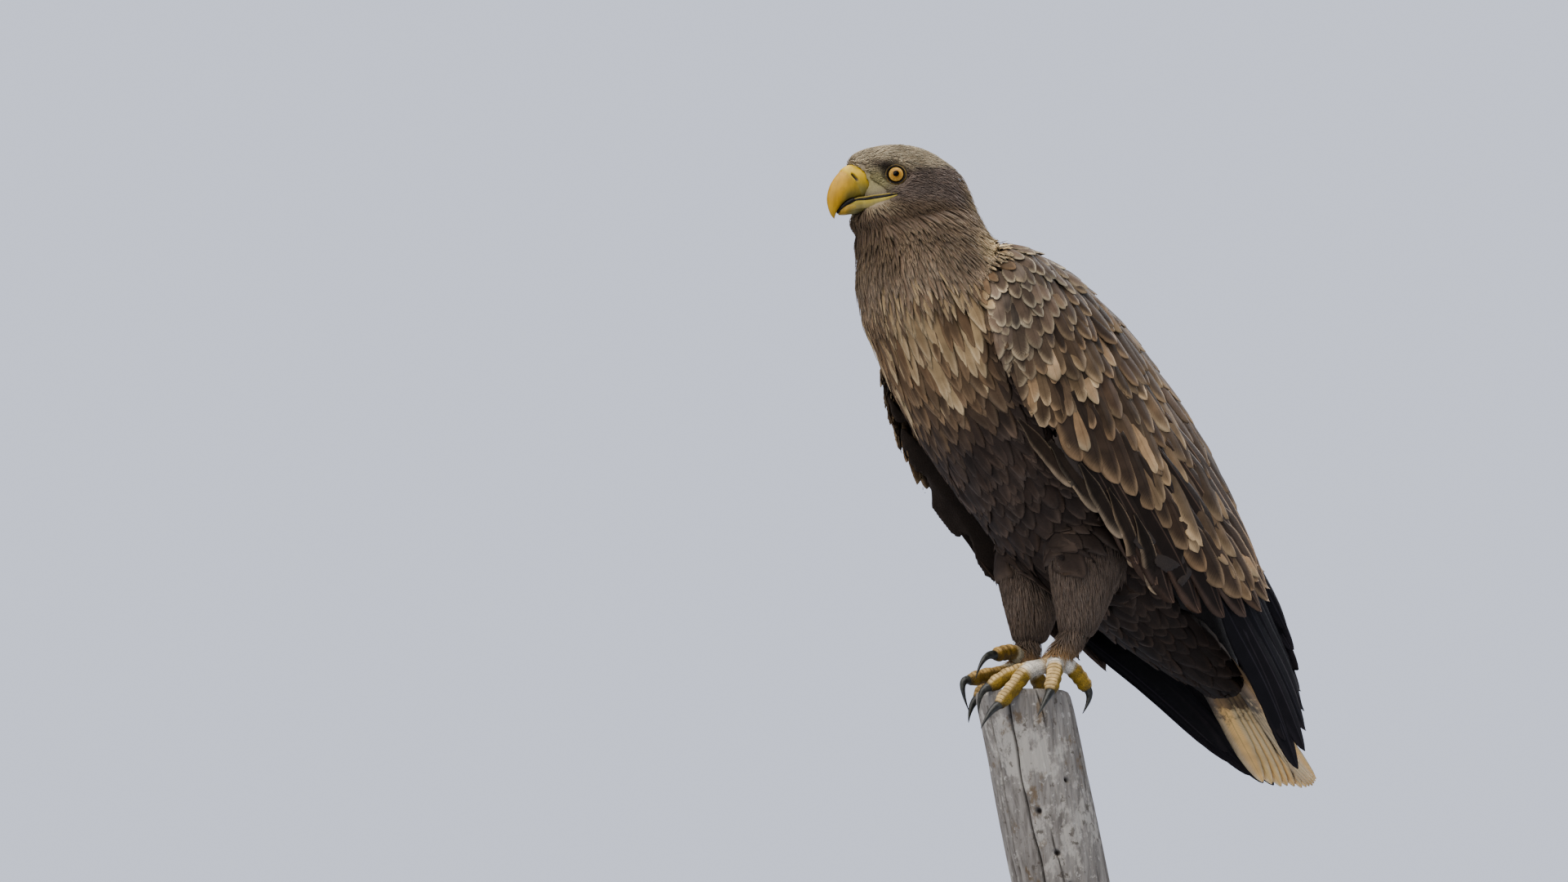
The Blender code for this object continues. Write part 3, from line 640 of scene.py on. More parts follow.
# places in the head's frame, and the way the feathers point there
HEAD_LIE = (
    ((44, 14, 0), (-1.0, 0.35, 0)), ((10, 37, 0), (-1.0, 0.0, 0)), ((10, 25, 24), (-1.0, -0.1, 0)),
    ((-35, 35, 0), (-1.0, -0.35, 0)), ((-35, 20, 30), (-1.0, -0.4, 0)), ((35, -8, 18), (-1.0, -0.05, 0.25)),
    ((10, -18, 26), (-1.0, -0.3, 0)), ((-20, -8, 32), (-1.0, -0.45, 0)), ((-45, -15, 38), (-0.8, -0.8, 0)),
    ((40, -44, 0), (-0.55, -0.8, 0)), ((15, -40, 22), (-0.8, -0.7, 0)), ((48, -70, 0), (-0.1, -1.0, 0)),
    ((0, -70, 42), (-0.35, -1.0, 0)), ((-75, 15, 0), (-0.75, -0.75, 0)), ((-95, -12, 0), (-0.55, -1.0, 0)),
    ((45, -120, 0), (0.0, -1.0, 0)), ((0, -130, 65), (-0.35, -1.0, 0)), ((-60, -70, 60), (-0.55, -0.9, 0)),
)
# places in the body's frame, and the way the feathers point there
BODY_LIE = (
    ((-310, 125, 0), (1.0, 0.0, 0)), ((-280, 180, 95), (1.0, -0.1, 0)), ((-100, 105, 0), (1.0, 0.02, 0)),
    ((-300, 350, 0), (1.0, 0.0, 0)), ((-100, 362, 0), (1.0, 0.0, 0)), ((100, 290, 0), (1.0, 0.0, 0)),
    ((80, 150, 0), (1.0, 0.25, 0)), ((-100, 150, 95), (1.0, -0.05, 0)),
)


def lie_guides():
    places, ways = [], []
    for table, place, axes in ((HEAD_LIE, head_place, HEAD_AXES), (BODY_LIE, body_place, BODY_AXES)):
        for spot, way in table:
            for mirror in (1, -1):
                places.append(place(spot[0], spot[1], spot[2] * mirror))
                ways.append(unit(np.array((way[0], way[1], way[2] * mirror)) @ axes))
    return np.array(places), np.array(ways)


LIE_PLACES, LIE_WAYS = lie_guides()


def body_lie(points):
    distance = ((points[:, None] - LIE_PLACES[None]) ** 2).sum(2)
    weight = 1 / (distance + (6 * MM) ** 2) ** 2
    return unit((weight[..., None] * LIE_WAYS[None]).sum(1) / weight.sum(1, keepdims=True))


def leg_lie(points):
    return np.broadcast_to(unit(np.array((0.0, 0.12, -1.0))), points.shape)


def wing_lie(points):
    """Coverts fan towards the wing's lower edge, and run straight along its back edge."""
    along, out, _ = in_body(points)
    turn = np.radians(np.interp(out, (160, 220, 270, 330), (-40, -33, -22, -7)))
    turn = turn * (1 - 0.65 * ease(-110, 20, along))
    return np.cos(turn)[:, None] * BODY_AXES[0] + np.sin(turn)[:, None] * BODY_AXES[1]


def on_surface(ways, normals):
    return unit(ways - normals * (ways * normals).sum(1, keepdims=True))


# ---------------------------------------------------------------- the skin

FLESH = ("head", "neck", "trunk", "thigh_left", "thigh_right", "wing_left", "wing_right")
# the flesh nodes' numbers, in that order; legs and wings are pairs
NODE_HEAD, NODE_NECK, NODE_TRUNK, NODE_LEG, NODE_WING = 0, 1, 2, 3, 5
NODE_DEPTHS = (0.0, 7.0, 8.0, 4.5, 4.5, 8.5, 8.5)   # the coat's depth on each, in mm; the head's varies
SKIN_CELL = 3.6 * MM
WING_SKIN_END = 30.0                 # the wing's skin ends here along the body; vanes go on


def on_leg(node):
    return (node >= NODE_LEG) & (node < NODE_WING)


def flesh_mesh():
    """The flesh nodes joined, grown a little so that the thin cuts between them close."""
    joined = bmesh.new()
    for name in (*FLESH, "eye_left", "eye_right"):
        work = welded(name)
        if name.startswith("wing"):
            everything = work.verts[:] + work.edges[:] + work.faces[:]
            cut = bmesh.ops.bisect_plane(work, geom=everything, dist=0.001 * MM,
                                         plane_co=body_place(WING_SKIN_END, 250, 0),
                                         plane_no=BODY_AXES[0], clear_outer=True)
            rim = [item for item in cut["geom_cut"] if isinstance(item, bmesh.types.BMEdge)]
            bmesh.ops.edgeloop_fill(work, edges=rim)
        work.normal_update()
        for vertex in work.verts:
            vertex.co += vertex.normal * MM
        mesh = mesh_from(work, "part")
        joined.from_mesh(mesh)
        bpy.data.meshes.remove(mesh)
    return mesh_from(joined, "flesh")


def remeshed(mesh, cell, rounds):
    """The mesh as one even, smoothed surface."""
    item = place_object("work", mesh)
    even = item.modifiers.new("even", 'REMESH')
    even.mode = 'VOXEL'
    even.voxel_size = cell
    smooth = item.modifiers.new("smooth", 'SMOOTH')
    smooth.factor = 0.5
    smooth.iterations = rounds
    graph = bpy.context.evaluated_depsgraph_get()
    result = bpy.data.meshes.new_from_object(item.evaluated_get(graph))
    bpy.data.objects.remove(item)
    return result


def coat_depth(points, node):
    """How deep the skin lies under the tips of the coat, in millimetres."""
    ahead, above, _ = in_head(points)
    face = ease(-25, 20, ahead) * ease(-50, -30, above)
    head = blend(blend(6.0, 3.6, ease(-60, -20, ahead)), 2.0, face)
    return np.where(node == 0, head, np.array(NODE_DEPTHS)[node])


def flesh_guide():
    return joined_guide([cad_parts[name].data for name in FLESH])


def wing_guide(side_name):
    """The solids of one folded wing, arm (0) and hand (1)."""
    meshes = [mesh_from(welded(part + side_name), "wing") for part in ("wing_", "primaries_")]
    result = joined_guide(meshes)
    for mesh in meshes:
        bpy.data.meshes.remove(mesh)
    return result


EYE = np.array((EYE_AHEAD, EYE_ABOVE, 14.8))
EYE_RADIUS = 12.5
GAZE = unit(np.array((0.44, 0.02, 0.90)))
LID_ANGLE = 45.0                     # the lids open this far round the line of sight
LID_EDGE = EYE_RADIUS * math.sin(math.radians(LID_ANGLE))
LID_THICKNESS = 0.9


def from_gaze(places):
    """Distance along the eye's line of sight, and away from it; places in the head's frame."""
    reach = np.stack((places[:, 0], places[:, 1], np.abs(places[:, 2])), 1) - EYE
    depth = reach @ GAZE
    return depth, np.linalg.norm(reach - depth[:, None] * GAZE, axis=1)


def shape_face(places):
    """Brow, hollow before the eye, and lids that hug the eyeball; places in the head's frame."""
    result = places.copy()
    ahead, above, side = places.T
    window = ease(-14, 2, ahead) * ease(42, 28, ahead)
    line = 10.5 - 0.10 * (ahead - 12)
    brow = 2.6 * np.exp(-((above - line) / 4.6) ** 2) * window
    hollow = 1.8 * np.exp(-((ahead - 31) / 7) ** 2 - ((above + 1) / 7) ** 2)
    left = np.abs(side) + (brow - hollow) * ease(6, 14, np.abs(side))
    result[:, 2] = np.sign(side) * left
    depth, away = from_gaze(result)
    lid_radius = EYE_RADIUS + LID_THICKNESS
    rim_depth = math.sqrt(lid_radius ** 2 - (LID_EDGE + 1.5) ** 2)
    lid = np.where(away < LID_EDGE + 1.5, np.sqrt(np.maximum(lid_radius ** 2 - away ** 2, 0)),
                   rim_depth - 0.55 * (away - LID_EDGE - 1.5))
    lid = np.where(away < LID_EDGE + 0.5, lid - 3.0, lid)
    new = blend(lid, depth, ease(LID_EDGE + 2.0, LID_EDGE + 10.0, away))
    near = (depth > 0) & (away < LID_EDGE + 10.0) & (np.abs(side) > 4)
    shift = np.where(near, new - depth, 0.0)
    return result + shift[:, None] * GAZE * np.stack((1 + 0 * side, 1 + 0 * side, np.sign(side)), 1)


def skin_depth(points, normals, triangles, depth):
    """The coat's depth, less where the body is thinner than about three times that."""
    tree = BVHTree.FromPolygons(points.tolist(), triangles.tolist())
    for number, (point, normal) in enumerate(zip(points, normals)):
        thickness = tree.ray_cast(point - normal * 0.5 * MM, -normal, 50 * MM)[3]
        if thickness is not None:
            depth[number] = min(depth[number], 0.35 * thickness)
    return depth


def refine_face(mesh):
    """Finer triangles round the eyes, where the lids and the brow need them."""
    work = bmesh.new()
    work.from_mesh(mesh)
    for _ in range(2):
        work.verts.ensure_lookup_table()
        ahead, above, side = in_head(np.array([vertex.co for vertex in work.verts]))
        face = (ahead > -22) & (above > -34) & (above < 30) & (np.abs(side) > 8)
        edges = [edge for edge in work.edges if face[edge.verts[0].index] and face[edge.verts[1].index]]
        bmesh.ops.subdivide_edges(work, edges=edges, cuts=1, use_grid_fill=True, smooth=0.0)
        bmesh.ops.triangulate(work, faces=[item for item in work.faces if len(item.verts) > 4])
        work.verts.index_update()
    work.to_mesh(mesh)
    work.free()
    return mesh


def make_skin(cad, owner):
    """One skin over the flesh, inside it by the coat's depth, with the coat's own markings."""
    mesh = remeshed(flesh_mesh(), SKIN_CELL, 4)
    points, normals, triangles = mesh_arrays(mesh)
    depth = skin_depth(points, normals, triangles, coat_depth(points, owner[cad.nearest(points)[2]]) * MM)
    mesh.vertices.foreach_set("co", (points - normals * depth[:, None]).astype(np.float32).ravel())
    mesh = refine_face(remeshed(mesh, SKIN_CELL * 0.9, 3))
    points, _, _ = mesh_arrays(mesh)
    ahead, above, _ = in_head(points)
    near = (ahead > -25) & (above > -45)
    points[near] = head_points(shape_face(in_head(points[near]).T))
    mesh.vertices.foreach_set("co", points.astype(np.float32).ravel())
    mesh.update()
    piece = place_object("skin", mesh)
    mesh.shade_smooth()
    unwrap(piece)
    points, _, _ = mesh_arrays(mesh)
    mark(mesh, "core", plumage_colours(points, owner[cad.nearest(points)[2]])[0])
    return dress(piece, skin_finish(), FLESH)


def unwrap(piece):
    """Unwrap the skin's own shape; the vanes take their map places from it."""
    bpy.context.view_layer.objects.active = piece
    piece.select_set(True)
    bpy.ops.object.mode_set(mode='EDIT')
    bpy.ops.mesh.select_all(action='SELECT')
    bpy.ops.uv.smart_project(angle_limit=math.radians(66), island_margin=0.002)
    bpy.ops.object.mode_set(mode='OBJECT')
    piece.select_set(False)
    piece.data.uv_layers[0].name = "OFBake"


def map_places(piece):
    """For each triangle of the skin, the middle of its place on the map."""
    mesh = piece.data
    mesh.calc_loop_triangles()
    loops = np.zeros(len(mesh.loop_triangles) * 3, np.int32)
    mesh.loop_triangles.foreach_get("loops", loops)
    uv = np.zeros(len(mesh.loops) * 2, np.float32)
    mesh.uv_layers["OFBake"].data.foreach_get("uv", uv)
    return uv.reshape(-1, 2)[loops].reshape(-1, 3, 2).mean(1)


# ---------------------------------------------------------------- markings

PALETTE = {key: colour(value) for key, value in {
    # brow: dark feathers round the eye, partly painted shadow under the brow ridge
    "crown": "6b5f4c", "crown_rim": "aa9c80", "brow": "2e2621", "brow_rim": "453a32",
    "ear": "453a33", "ear_rim": "665a50", "lores": "766d48", "lores_rim": "8a815e",
    "chin": "85755a", "chin_rim": "a59477", "throat": "43362b", "throat_rim": "66553f",
    "nape": "66543a", "nape_rim": "b8a279", "neck": "605041", "neck_rim": "93816a",
    "breast": "4a3928", "breast_rim": "745d43", "pale": "8a7352", "pale_rim": "b49c76",
    "belly": "28201b", "belly_rim": "43372e", "leg": "50443a", "leg_rim": "6b5c4f",
    "cuff": "7d6142", "cuff_rim": "9c7c56",
    "wing": "2c231c", "wing_rim": "2c231c", "back": "33251a", "back_rim": "6b5439",
    "vent": "1b1511", "vent_rim": "2c221b",
    "covert": "35291f", "covert_rim": "735d44", "bleached": "765f44", "bleached_rim": "ae946e",
    "shoulder": "4c3f33", "shoulder_rim": "918268",
    "flight": "1b140f", "flight_rim": "43342a", "lead": "221a13", "lead_rim": "86725a",
    "tip": "0e0c0e", "tip_rim": "1b1719", "tail": "d9ae68", "tail_rim": "efd09a", "tail_root": "4a3522",
}.items()}
# marks on head and neck: centre in the head's frame on both sides, reach each way, colours, strength
MARKS = (
    # the two brow marks: dark feathers before, above and behind the eye, partly their own colour and partly
    # painted shadow under the overhanging brow
    ((27.0, 7.0, 20.0), (19.0, 5.0, 16.0), "brow", 0.9),
    ((-8.0, 4.0, 32.0), (14.0, 6.0, 12.0), "brow", 0.6),
    ((36.0, -13.0, 20.0), (18.0, 14.0, 18.0), "lores", 1.0),
    ((34.0, -38.0, 24.0), (22.0, 5.0, 16.0), "chin", 0.8),
    ((26.0, -74.0, 38.0), (15.0, 18.0, 20.0), "throat", 0.8),
    ((-68.0, -68.0, 62.0), (18.0, 22.0, 22.0), "nape", 0.8),
)
# patches of bleached feathers: centre in the body's frame, reach each way
PALE_PATCHES = (
    ((-416.0, 164.0, 28.0), (36.0, 34.0, 40.0)), ((-384.0, 198.0, 82.0), (42.0, 30.0, 28.0)),
    ((-390.0, 142.0, 30.0), (38.0, 24.0, 24.0)), ((-360.0, 136.0, -36.0), (26.0, 20.0, 15.0)),
    ((-395.0, 180.0, -70.0), (40.0, 34.0, 30.0)),
)


def towards(first, second, share):
    return first + (second - first) * np.asarray(share)[:, None]


def layered(base, layers, read=colour):
    """A colour with others laid over it, each by its own share at each place."""
    for key, share in layers:
        base = towards(base, read(key), share)
    return base


def nearness(offsets, reach):
    return np.exp(-((offsets / np.array(reach)) ** 2).sum(1) ** 1.5)


def pale_share(points):
    """How likely the feathers are to be bleached, 0 to 1."""
    places = in_body(points).T
    return np.max([nearness(places - centre, reach) for centre, reach in PALE_PATCHES], 0)


def plumage_colours(points, node):
    """Heart and rim colours of the coat at places on the body."""
    ahead, above, side = in_head(points)
    along, out, _ = in_body(points)
    mirrored = np.stack((ahead, above, np.abs(side)), 1)
    cloud = np.array([mathutils.noise.fractal(Vector(point) * 28, 1.0, 2.0, 3) for point in points])
    cloud = np.exp(0.30 * cloud * np.where(node <= NODE_NECK, 1.0, 0.6))[:, None]
    front = ease(-115, -65, above) * blend(0.8, 1.0, ease(10, 35, ahead)) * ease(-75, -45, ahead)
    regions = (
        (node == NODE_HEAD, "ear", (("crown", ease(6, 18, above + 0.25 * (ahead + 30))),
                                    ("throat", ease(-22, -40, above + 0.1 * ahead)),
                                    ("nape", ease(-45, -75, ahead)))),
        (node == NODE_NECK, "neck", (("nape", ease(-45, -80, ahead) * ease(-130, -60, above)),
                                     ("throat", front), ("breast", ease(-85, -140, above)))),
        (node == NODE_TRUNK, "breast", (("belly", ease(-390, -295, along)), ("vent", ease(-60, 60, along)),
                                        ("back", ease(270, 330, out)))),
        (on_leg(node), "belly", (("leg", ease(200, 120, (points[:, 2] - FEET[2]) / MM)),)),
        (node >= NODE_WING, "wing", ()),
    )
    marks = [(key, most * nearness(mirrored - centre, reach) * (node <= NODE_NECK))
             for centre, reach, key, most in MARKS]
    rows = []
    for part in ("", "_rim"):
        read = lambda key: PALETTE[key + part]
        result = np.zeros((len(points), 3))
        for member, key, layers in regions:
            result = np.where(member[:, None], layered(read(key), layers, read), result)
        rows.append(np.clip(layered(result, marks, read) * cloud, 0, 1))
    return rows


def vary(values, dice, amount):
    """Each vane a little lighter or darker than its neighbours."""
    tone = np.exp(amount * dice.standard_normal((len(values), 1)))
    warm = np.exp(0.03 * dice.standard_normal((len(values), 1)) * np.array((1.0, 0.0, -1.0)))
    return np.clip(values * tone * warm, 0, 1)


# ---------------------------------------------------------------- the coat

def tract_sizes(points, node):
    """Spacing, length and width of the vanes at places on head, neck, trunk and legs, in mm."""
    ahead, above, _ = in_head(points)
    along, out, _ = in_body(points)
    face = ease(2, 22, ahead) * ease(-44, -36, above) * ease(20, 8, above)
    broad = ease(-85, -150, above)
    breast = ease(-190, -290, along) * ease(300, 240, out)
    head = blend(9.0, 30.0, ease(-20, -85, ahead))
    head = blend(head, 16.0, ease(-30, -50, above) * ease(-40, 20, ahead))
    head = blend(head, 4.6, face)
    neck = blend(blend(27.0, 46.0, ease(-60, -130, above)), 42.0, ease(-50, -90, ahead))
    trunk = blend(blend(48.0, 78.0, breast), 72.0, ease(20, 90, along))
    chest = blend(20.0, 14.0, ease(-340, -400, along))
    leg = blend(24.0, 32.0, ease(50, 170, (points[:, 2] - FEET[2]) / MM))
    table = (
        (node == NODE_NECK,
         0.034 * neck + 1.2 + 1.8 * broad, neck + 8 * broad, 0.085 * neck + 1.3 + 5.5 * broad),
        (node == NODE_TRUNK, blend(10.5, 8.2, breast), trunk, blend(22.0, chest, breast)),
        (on_leg(node), 0.030 * leg + 1.1, leg, 0.055 * leg + 0.9),
        (node >= NODE_WING, 9.0, 40.0, 20.0))
    sizes = (0.085 * head + 0.62, head, 0.12 * head + 0.7)
    for member, *values in table:
        sizes = [np.where(member, new, old) for new, old in zip(values, sizes)]
    return sizes


def feathered_face(points, node):
    """Where the head bears feathers: not on the eyes, the lores, the lips or under the bill."""
    ahead, above, side = in_head(points)
    depth, away = from_gaze(np.stack((ahead, above, side), 1))
    clear = (away > LID_EDGE + 2.4) | (depth < 0)
    front = (ahead < blend(44.0, 60.0, ease(6, 11, above))) | (above < -43)
    line = np.interp(ahead, *np.array(GAPE)[::-1, :2].T)
    lips = (above < line + 2.2) & (above > line - blend(3.0, 9.6, ease(14, 40, ahead))) & (ahead > 15)
    bare = (ahead > 42) & (above < -26) & (above > -43)
    lores = (ahead > blend(40.0, 27.0, ease(-8, -24, above))) & (above < 3 - 0.1 * ahead) & (above > -32)
    return (node == NODE_HEAD) & clear & front & ~lips & ~bare & ~lores


def breast_only(points, node):
    along, out, _ = in_body(points)
    return (node == NODE_TRUNK) & (along < -215) & (out < 290)


def tracts(fine, body):
    """The coat's stretches: name, where, style, finish, slot, lie, and how much the vanes vary."""
    front = lambda points: in_head(points)[0] > 4
    high = lambda points: in_head(points)[1] > -2
    left = lambda points: in_head(points)[2] > 0
    crown = lambda points, node: feathered_face(points, node) & ~front(points) & high(points)
    cheeks = lambda points, node: feathered_face(points, node) & ~front(points) & ~high(points)
    return (
        ("coat_face", lambda points, node: feathered_face(points, node) & front(points),
         "hair", fine, "head", body_lie, 0.12),
        ("coat_crown", crown, "hair", fine, "head", body_lie, 0.12),
        ("coat_cheeks", cheeks, "hair", fine, "head", body_lie, 0.12),
        ("coat_neck_left", lambda points, node: (node == NODE_NECK) & left(points),
         "lance", body, "neck", body_lie, 0.14),
        ("coat_neck_right", lambda points, node: (node == NODE_NECK) & ~left(points),
         "lance", body, "neck", body_lie, 0.14),
        ("coat_breast", breast_only, "plume", body, "body", body_lie, 0.20),
        ("coat_trunk", lambda points, node: (node == NODE_TRUNK) & ~breast_only(points, node),
         "plume", body, "body", body_lie, 0.16),
        ("coat_legs", lambda points, node: on_leg(node), "hair", fine, "leg", leg_lie, 0.10),
    )


CUFF_END, CUFF_REACH = 38.0, 17.0    # the cuffs end this far above the perch, and stay this near the bone


class Coat:
    """The skin, its map, the solids under it, and what covers it; grows one stretch of vanes at a time."""

    def __init__(self, piece, cad, owner):
        self.skin = Guide(*mesh_arrays(piece.data))
        self.maps = map_places(piece)
        self.cad, self.owner = cad, owner
        self.wings = [wing_guide(side_name)[0] for side_name, _ in SIDES]

    def nodes(self, points):
        return self.owner[self.cad.nearest(points)[2]]

    def map_at(self, points):
        return self.maps[self.skin.nearest(points)[2]]

    def open_to_view(self, points, normals):
        """Whether a place on the body isn't hidden under a folded wing."""
        result = []
        for point, normal in zip(points + normals * 4 * MM, normals):
            hits = [wing.tree.ray_cast(Vector(point), Vector(normal), 50 * MM)[0] for wing in self.wings]
            result.append(all(hit is None for hit in hits))
        return np.array(result)

    def room(self, points):
        """How far the nearest wing is, in millimetres."""
        return np.array([min(wing.tree.find_nearest(Vector(point))[3] for wing in self.wings)
                         for point in points]) / MM

    def grow(self, name, member, style, finish, lie, seed, tone):
        """One stretch of the coat, where member says and the folded wings leave it in view."""
        centres = self.skin.centres()
        node = self.nodes(centres)
        spacing = tract_sizes(centres, node)[0]
        dice = np.random.default_rng(seed)
        roots, pick = self.skin.scatter(np.where(member(centres, node), spacing, 0) * MM, dice)
        node, normals = node[pick], self.skin.facing(pick)
        ways = on_surface(lie(roots) + 0.06 * dice.standard_normal(roots.shape), normals)
        _, length, width = tract_sizes(roots, node)
        tight = blend(0.35, 1.0, ease(4, 32, self.room(roots)))
        length = length * np.where(node <= NODE_TRUNK, tight, 1.0)
        middles = roots + ways * length[:, None] * MM / 2
        shown = self.open_to_view(roots, normals) | self.open_to_view(middles, normals)
        roots, normals, ways, node, pick, length, width = (
            item[shown] for item in (roots, normals, ways, node, pick, length, width))
        length = clear_of_eye(roots, ways, length)
        size = np.exp(0.12 * dice.standard_normal(len(roots))) * MM
        depth = coat_depth(roots, node) * MM
        rise = depth * (0.95 + 0.06 * dice.standard_normal(len(roots)))
        batch = grow_vanes(self.skin, roots, normals, ways, length * size, width * size, style, dice,
                           rise, depth * 0.05, nape_flare(roots, dice) * (node <= NODE_NECK))
        core, rim = plumage_colours(roots, node)
        core, rim = vary(core, dice, tone), vary(rim, dice, tone)
        likely = 0.80 * pale_share(roots) * (node > NODE_HEAD) * (node <= NODE_TRUNK)
        pale = (dice.random(len(roots)) < likely) * (0.5 + 0.5 * dice.random(len(roots)))
        batch["core"] = towards(core, PALETTE["pale"], pale)
        batch["rim"] = towards(rim, PALETTE["pale_rim"], pale)
        batch["map"] = self.maps[pick]
        vanes_to_piece(name, [batch], finish)

    def cuff(self, side_name, side, foot, finish):
        """Short feathers that run from the thigh down over the tarsus."""
        guide = Guide(*mesh_arrays(foot.data))
        centres = (guide.centres() - FEET) / MM
        ankle = np.array(ANKLE[side_name])
        shin = SHIN_TOP * (side, 1.0, 1.0) - ankle
        share = np.clip((centres - ankle) @ shin / (shin @ shin), 0, 1)
        off = np.linalg.norm(centres - ankle - share[:, None] * shin, axis=1)
        dice = np.random.default_rng(61 + len(side_name))
        wanted = (centres[:, 2] > CUFF_END) & (off < CUFF_REACH)
        roots, pick = guide.scatter(np.where(wanted, 1.7, 0) * MM, dice)
        normals = guide.facing(pick)
        ways = on_surface(leg_lie(roots) + 0.08 * dice.standard_normal(roots.shape), normals)
        low = ease(CUFF_END + 24, CUFF_END, (roots[:, 2] - FEET[2]) / MM)
        size = np.exp(0.15 * dice.standard_normal(len(roots))) * MM
        batch = grow_vanes(guide, roots, normals, ways, blend(18.0, 9.0, low) * size, 2.0 * size,
                           "hair", dice, blend(4.6, 1.2, low) * MM, np.full(len(roots), -0.3 * MM))
        tinted(batch, "leg", len(roots), dice, (0.12, 0.12), (("cuff", low),))
        batch["map"] = self.map_at(roots)
        vanes_to_piece("cuff_" + side_name, [batch], finish)


def clear_of_eye(roots, ways, lengths):
    """Shorten the vanes whose tips would hang over an eye."""
    for _ in range(4):
        tips = in_head(roots + ways * lengths[:, None] * MM).T
        depth, away = from_gaze(tips)
        over = (depth > 0) & (depth < 30) & (away < LID_EDGE + 1.6)
        lengths = np.where(over, lengths * 0.7, lengths)
    return lengths


def nape_flare(points, dice):
    """The long feathers of the nape stand a little away, some more than others."""
    ahead, above, _ = in_head(points)
    place = ease(-50, -80, ahead) * ease(-110, -70, above)
    return place * np.clip(1.0 + 1.6 * dice.standard_normal(len(points)), 0, 4) * MM


# where the coverts end towards the dark feathers: along the body, and out
COVERT_EDGE = ((-400, 100), (-175, 160), (-110, 188), (-50, 206), (54, 214), (104, 238), (125, 300))


def covert_shades(along, out, dice):
    """Bleached shares of the coverts: a worn patch near the wing's rear, odd ones elsewhere."""
    worn = np.exp(-((along - 5) / 70) ** 2 - ((out - 276) / 30) ** 2)
    belt = np.exp(-((out - 262) / 34) ** 2) * ease(-320, -240, along)
    odds = 0.16 + 0.55 * worn + 0.30 * belt
    count = len(along)
    return np.where(dice.random(count) < odds, 0.4 + 0.6 * dice.random(count), 0.22 * dice.random(count))


def skin_clear(skin, point, way):
    """Whether a place on the wing looks out into the open."""
    start = Vector(point) + Vector(way) * 6 * MM
    return skin.tree.ray_cast(start, Vector(way), 50 * MM)[0] is None


def wing_coverts(side_name, side, coat, finish):
    """Rounded coverts over the outer face of a folded wing's arm, with painted shade darkening them towards its
    back and lower edges.
    """
    guide, part = wing_guide(side_name)
    corners = [guide.points[guide.triangles[:, i]] for i in range(3)]
    facing = unit(np.cross(corners[1] - corners[0], corners[2] - corners[0]))
    centres = guide.centres()
    clear = np.array([skin_clear(coat.skin, centre, way) for centre, way in zip(centres, facing)])
    wanted = (part == 0) & (facing[:, 0] * side > -0.1) & clear
    spacing = blend(9.5, 18.5, ease(-370, -90, in_body(centres)[0]))
    dice = np.random.default_rng(11 + int(side))
    roots, pick = guide.scatter(np.where(wanted, spacing, 0) * MM, dice)
    normals = unit(0.5 * guide.facing(pick) + facing[pick])
    along, out, _ = in_body(roots)
    reach = ease(-370, -90, along)
    size = np.exp(0.18 * dice.standard_normal(len(roots)))
    length, width = blend(32.0, 84.0, reach) * size, blend(20.0, 37.0, reach) * size
    ways = on_surface(wing_lie(roots) + 0.07 * dice.standard_normal(roots.shape), normals)
    tips = in_body(roots + ways * length[:, None] * MM)
    edge = np.interp(tips[0], *np.array(COVERT_EDGE, float).T) + 6 * dice.standard_normal(len(roots))
    kept = (tips[1] > edge - pose_droop(side_name, tips[0])) & (tips[0] < 118 + 36 * (side < 0))
    roots, normals, ways, along, out, length, width = (
        item[kept] for item in (roots, normals, ways, along, out, length, width))
    count = len(roots)
    batch = grow_vanes(guide, roots, normals, ways, length * MM, width * MM, "covert", dice,
                       0.8 * MM * dice.standard_normal(count), np.full(count, -3.6 * MM),
                       1.0 * MM * dice.random(count))
    bleached = covert_shades(along, out, dice)
    # painted shade: the coverts darken towards the wing's back edge (out 315 to 338) and its lower edge (out
    # below 175), where they lie in shadow
    dark = blend(1.0, 0.75, ease(315, 338, out)) * blend(1.0, 0.8, ease(175, 120, out))
    tinted(batch, "covert", count, dice, (0.30, 0.22),
           (("bleached", bleached), ("shoulder", ease(-290, -350, along))), dark)
    batch["map"] = coat.map_at(roots)
    vanes_to_piece("coverts_" + side_name, [batch], finish)


# ---------------------------------------------------------------- flight feathers

def drape(guide, points, lift_way):
    """Drop points onto the guide's outer side; those past its edge keep the nearest height."""
    result = points.copy()
    level = (guide.points @ lift_way).max() + 0.02
    for index, point in enumerate(points):
        start = point + lift_way * (level - point @ lift_way)
        spot = guide.tree.ray_cast(Vector(start), Vector(-lift_way))[0]
        if spot is None:
            spot = guide.tree.find_nearest(Vector(point))[0]
        result[index] = point + lift_way * (np.array(spot) @ lift_way - point @ lift_way)
    return result


def calmed(level):
    """Heights over vanes, smoothed along them and half evened across, so that no vane crumples."""
    calm = level.copy()
    for _ in range(14):
        calm[:, 1:-1] = (calm[:, :-2] + 2 * calm[:, 1:-1] + calm[:, 2:]) / 4
        calm[:, -1] = calm[:, -2]
    return (calm + calm.mean(2, keepdims=True)) / 2


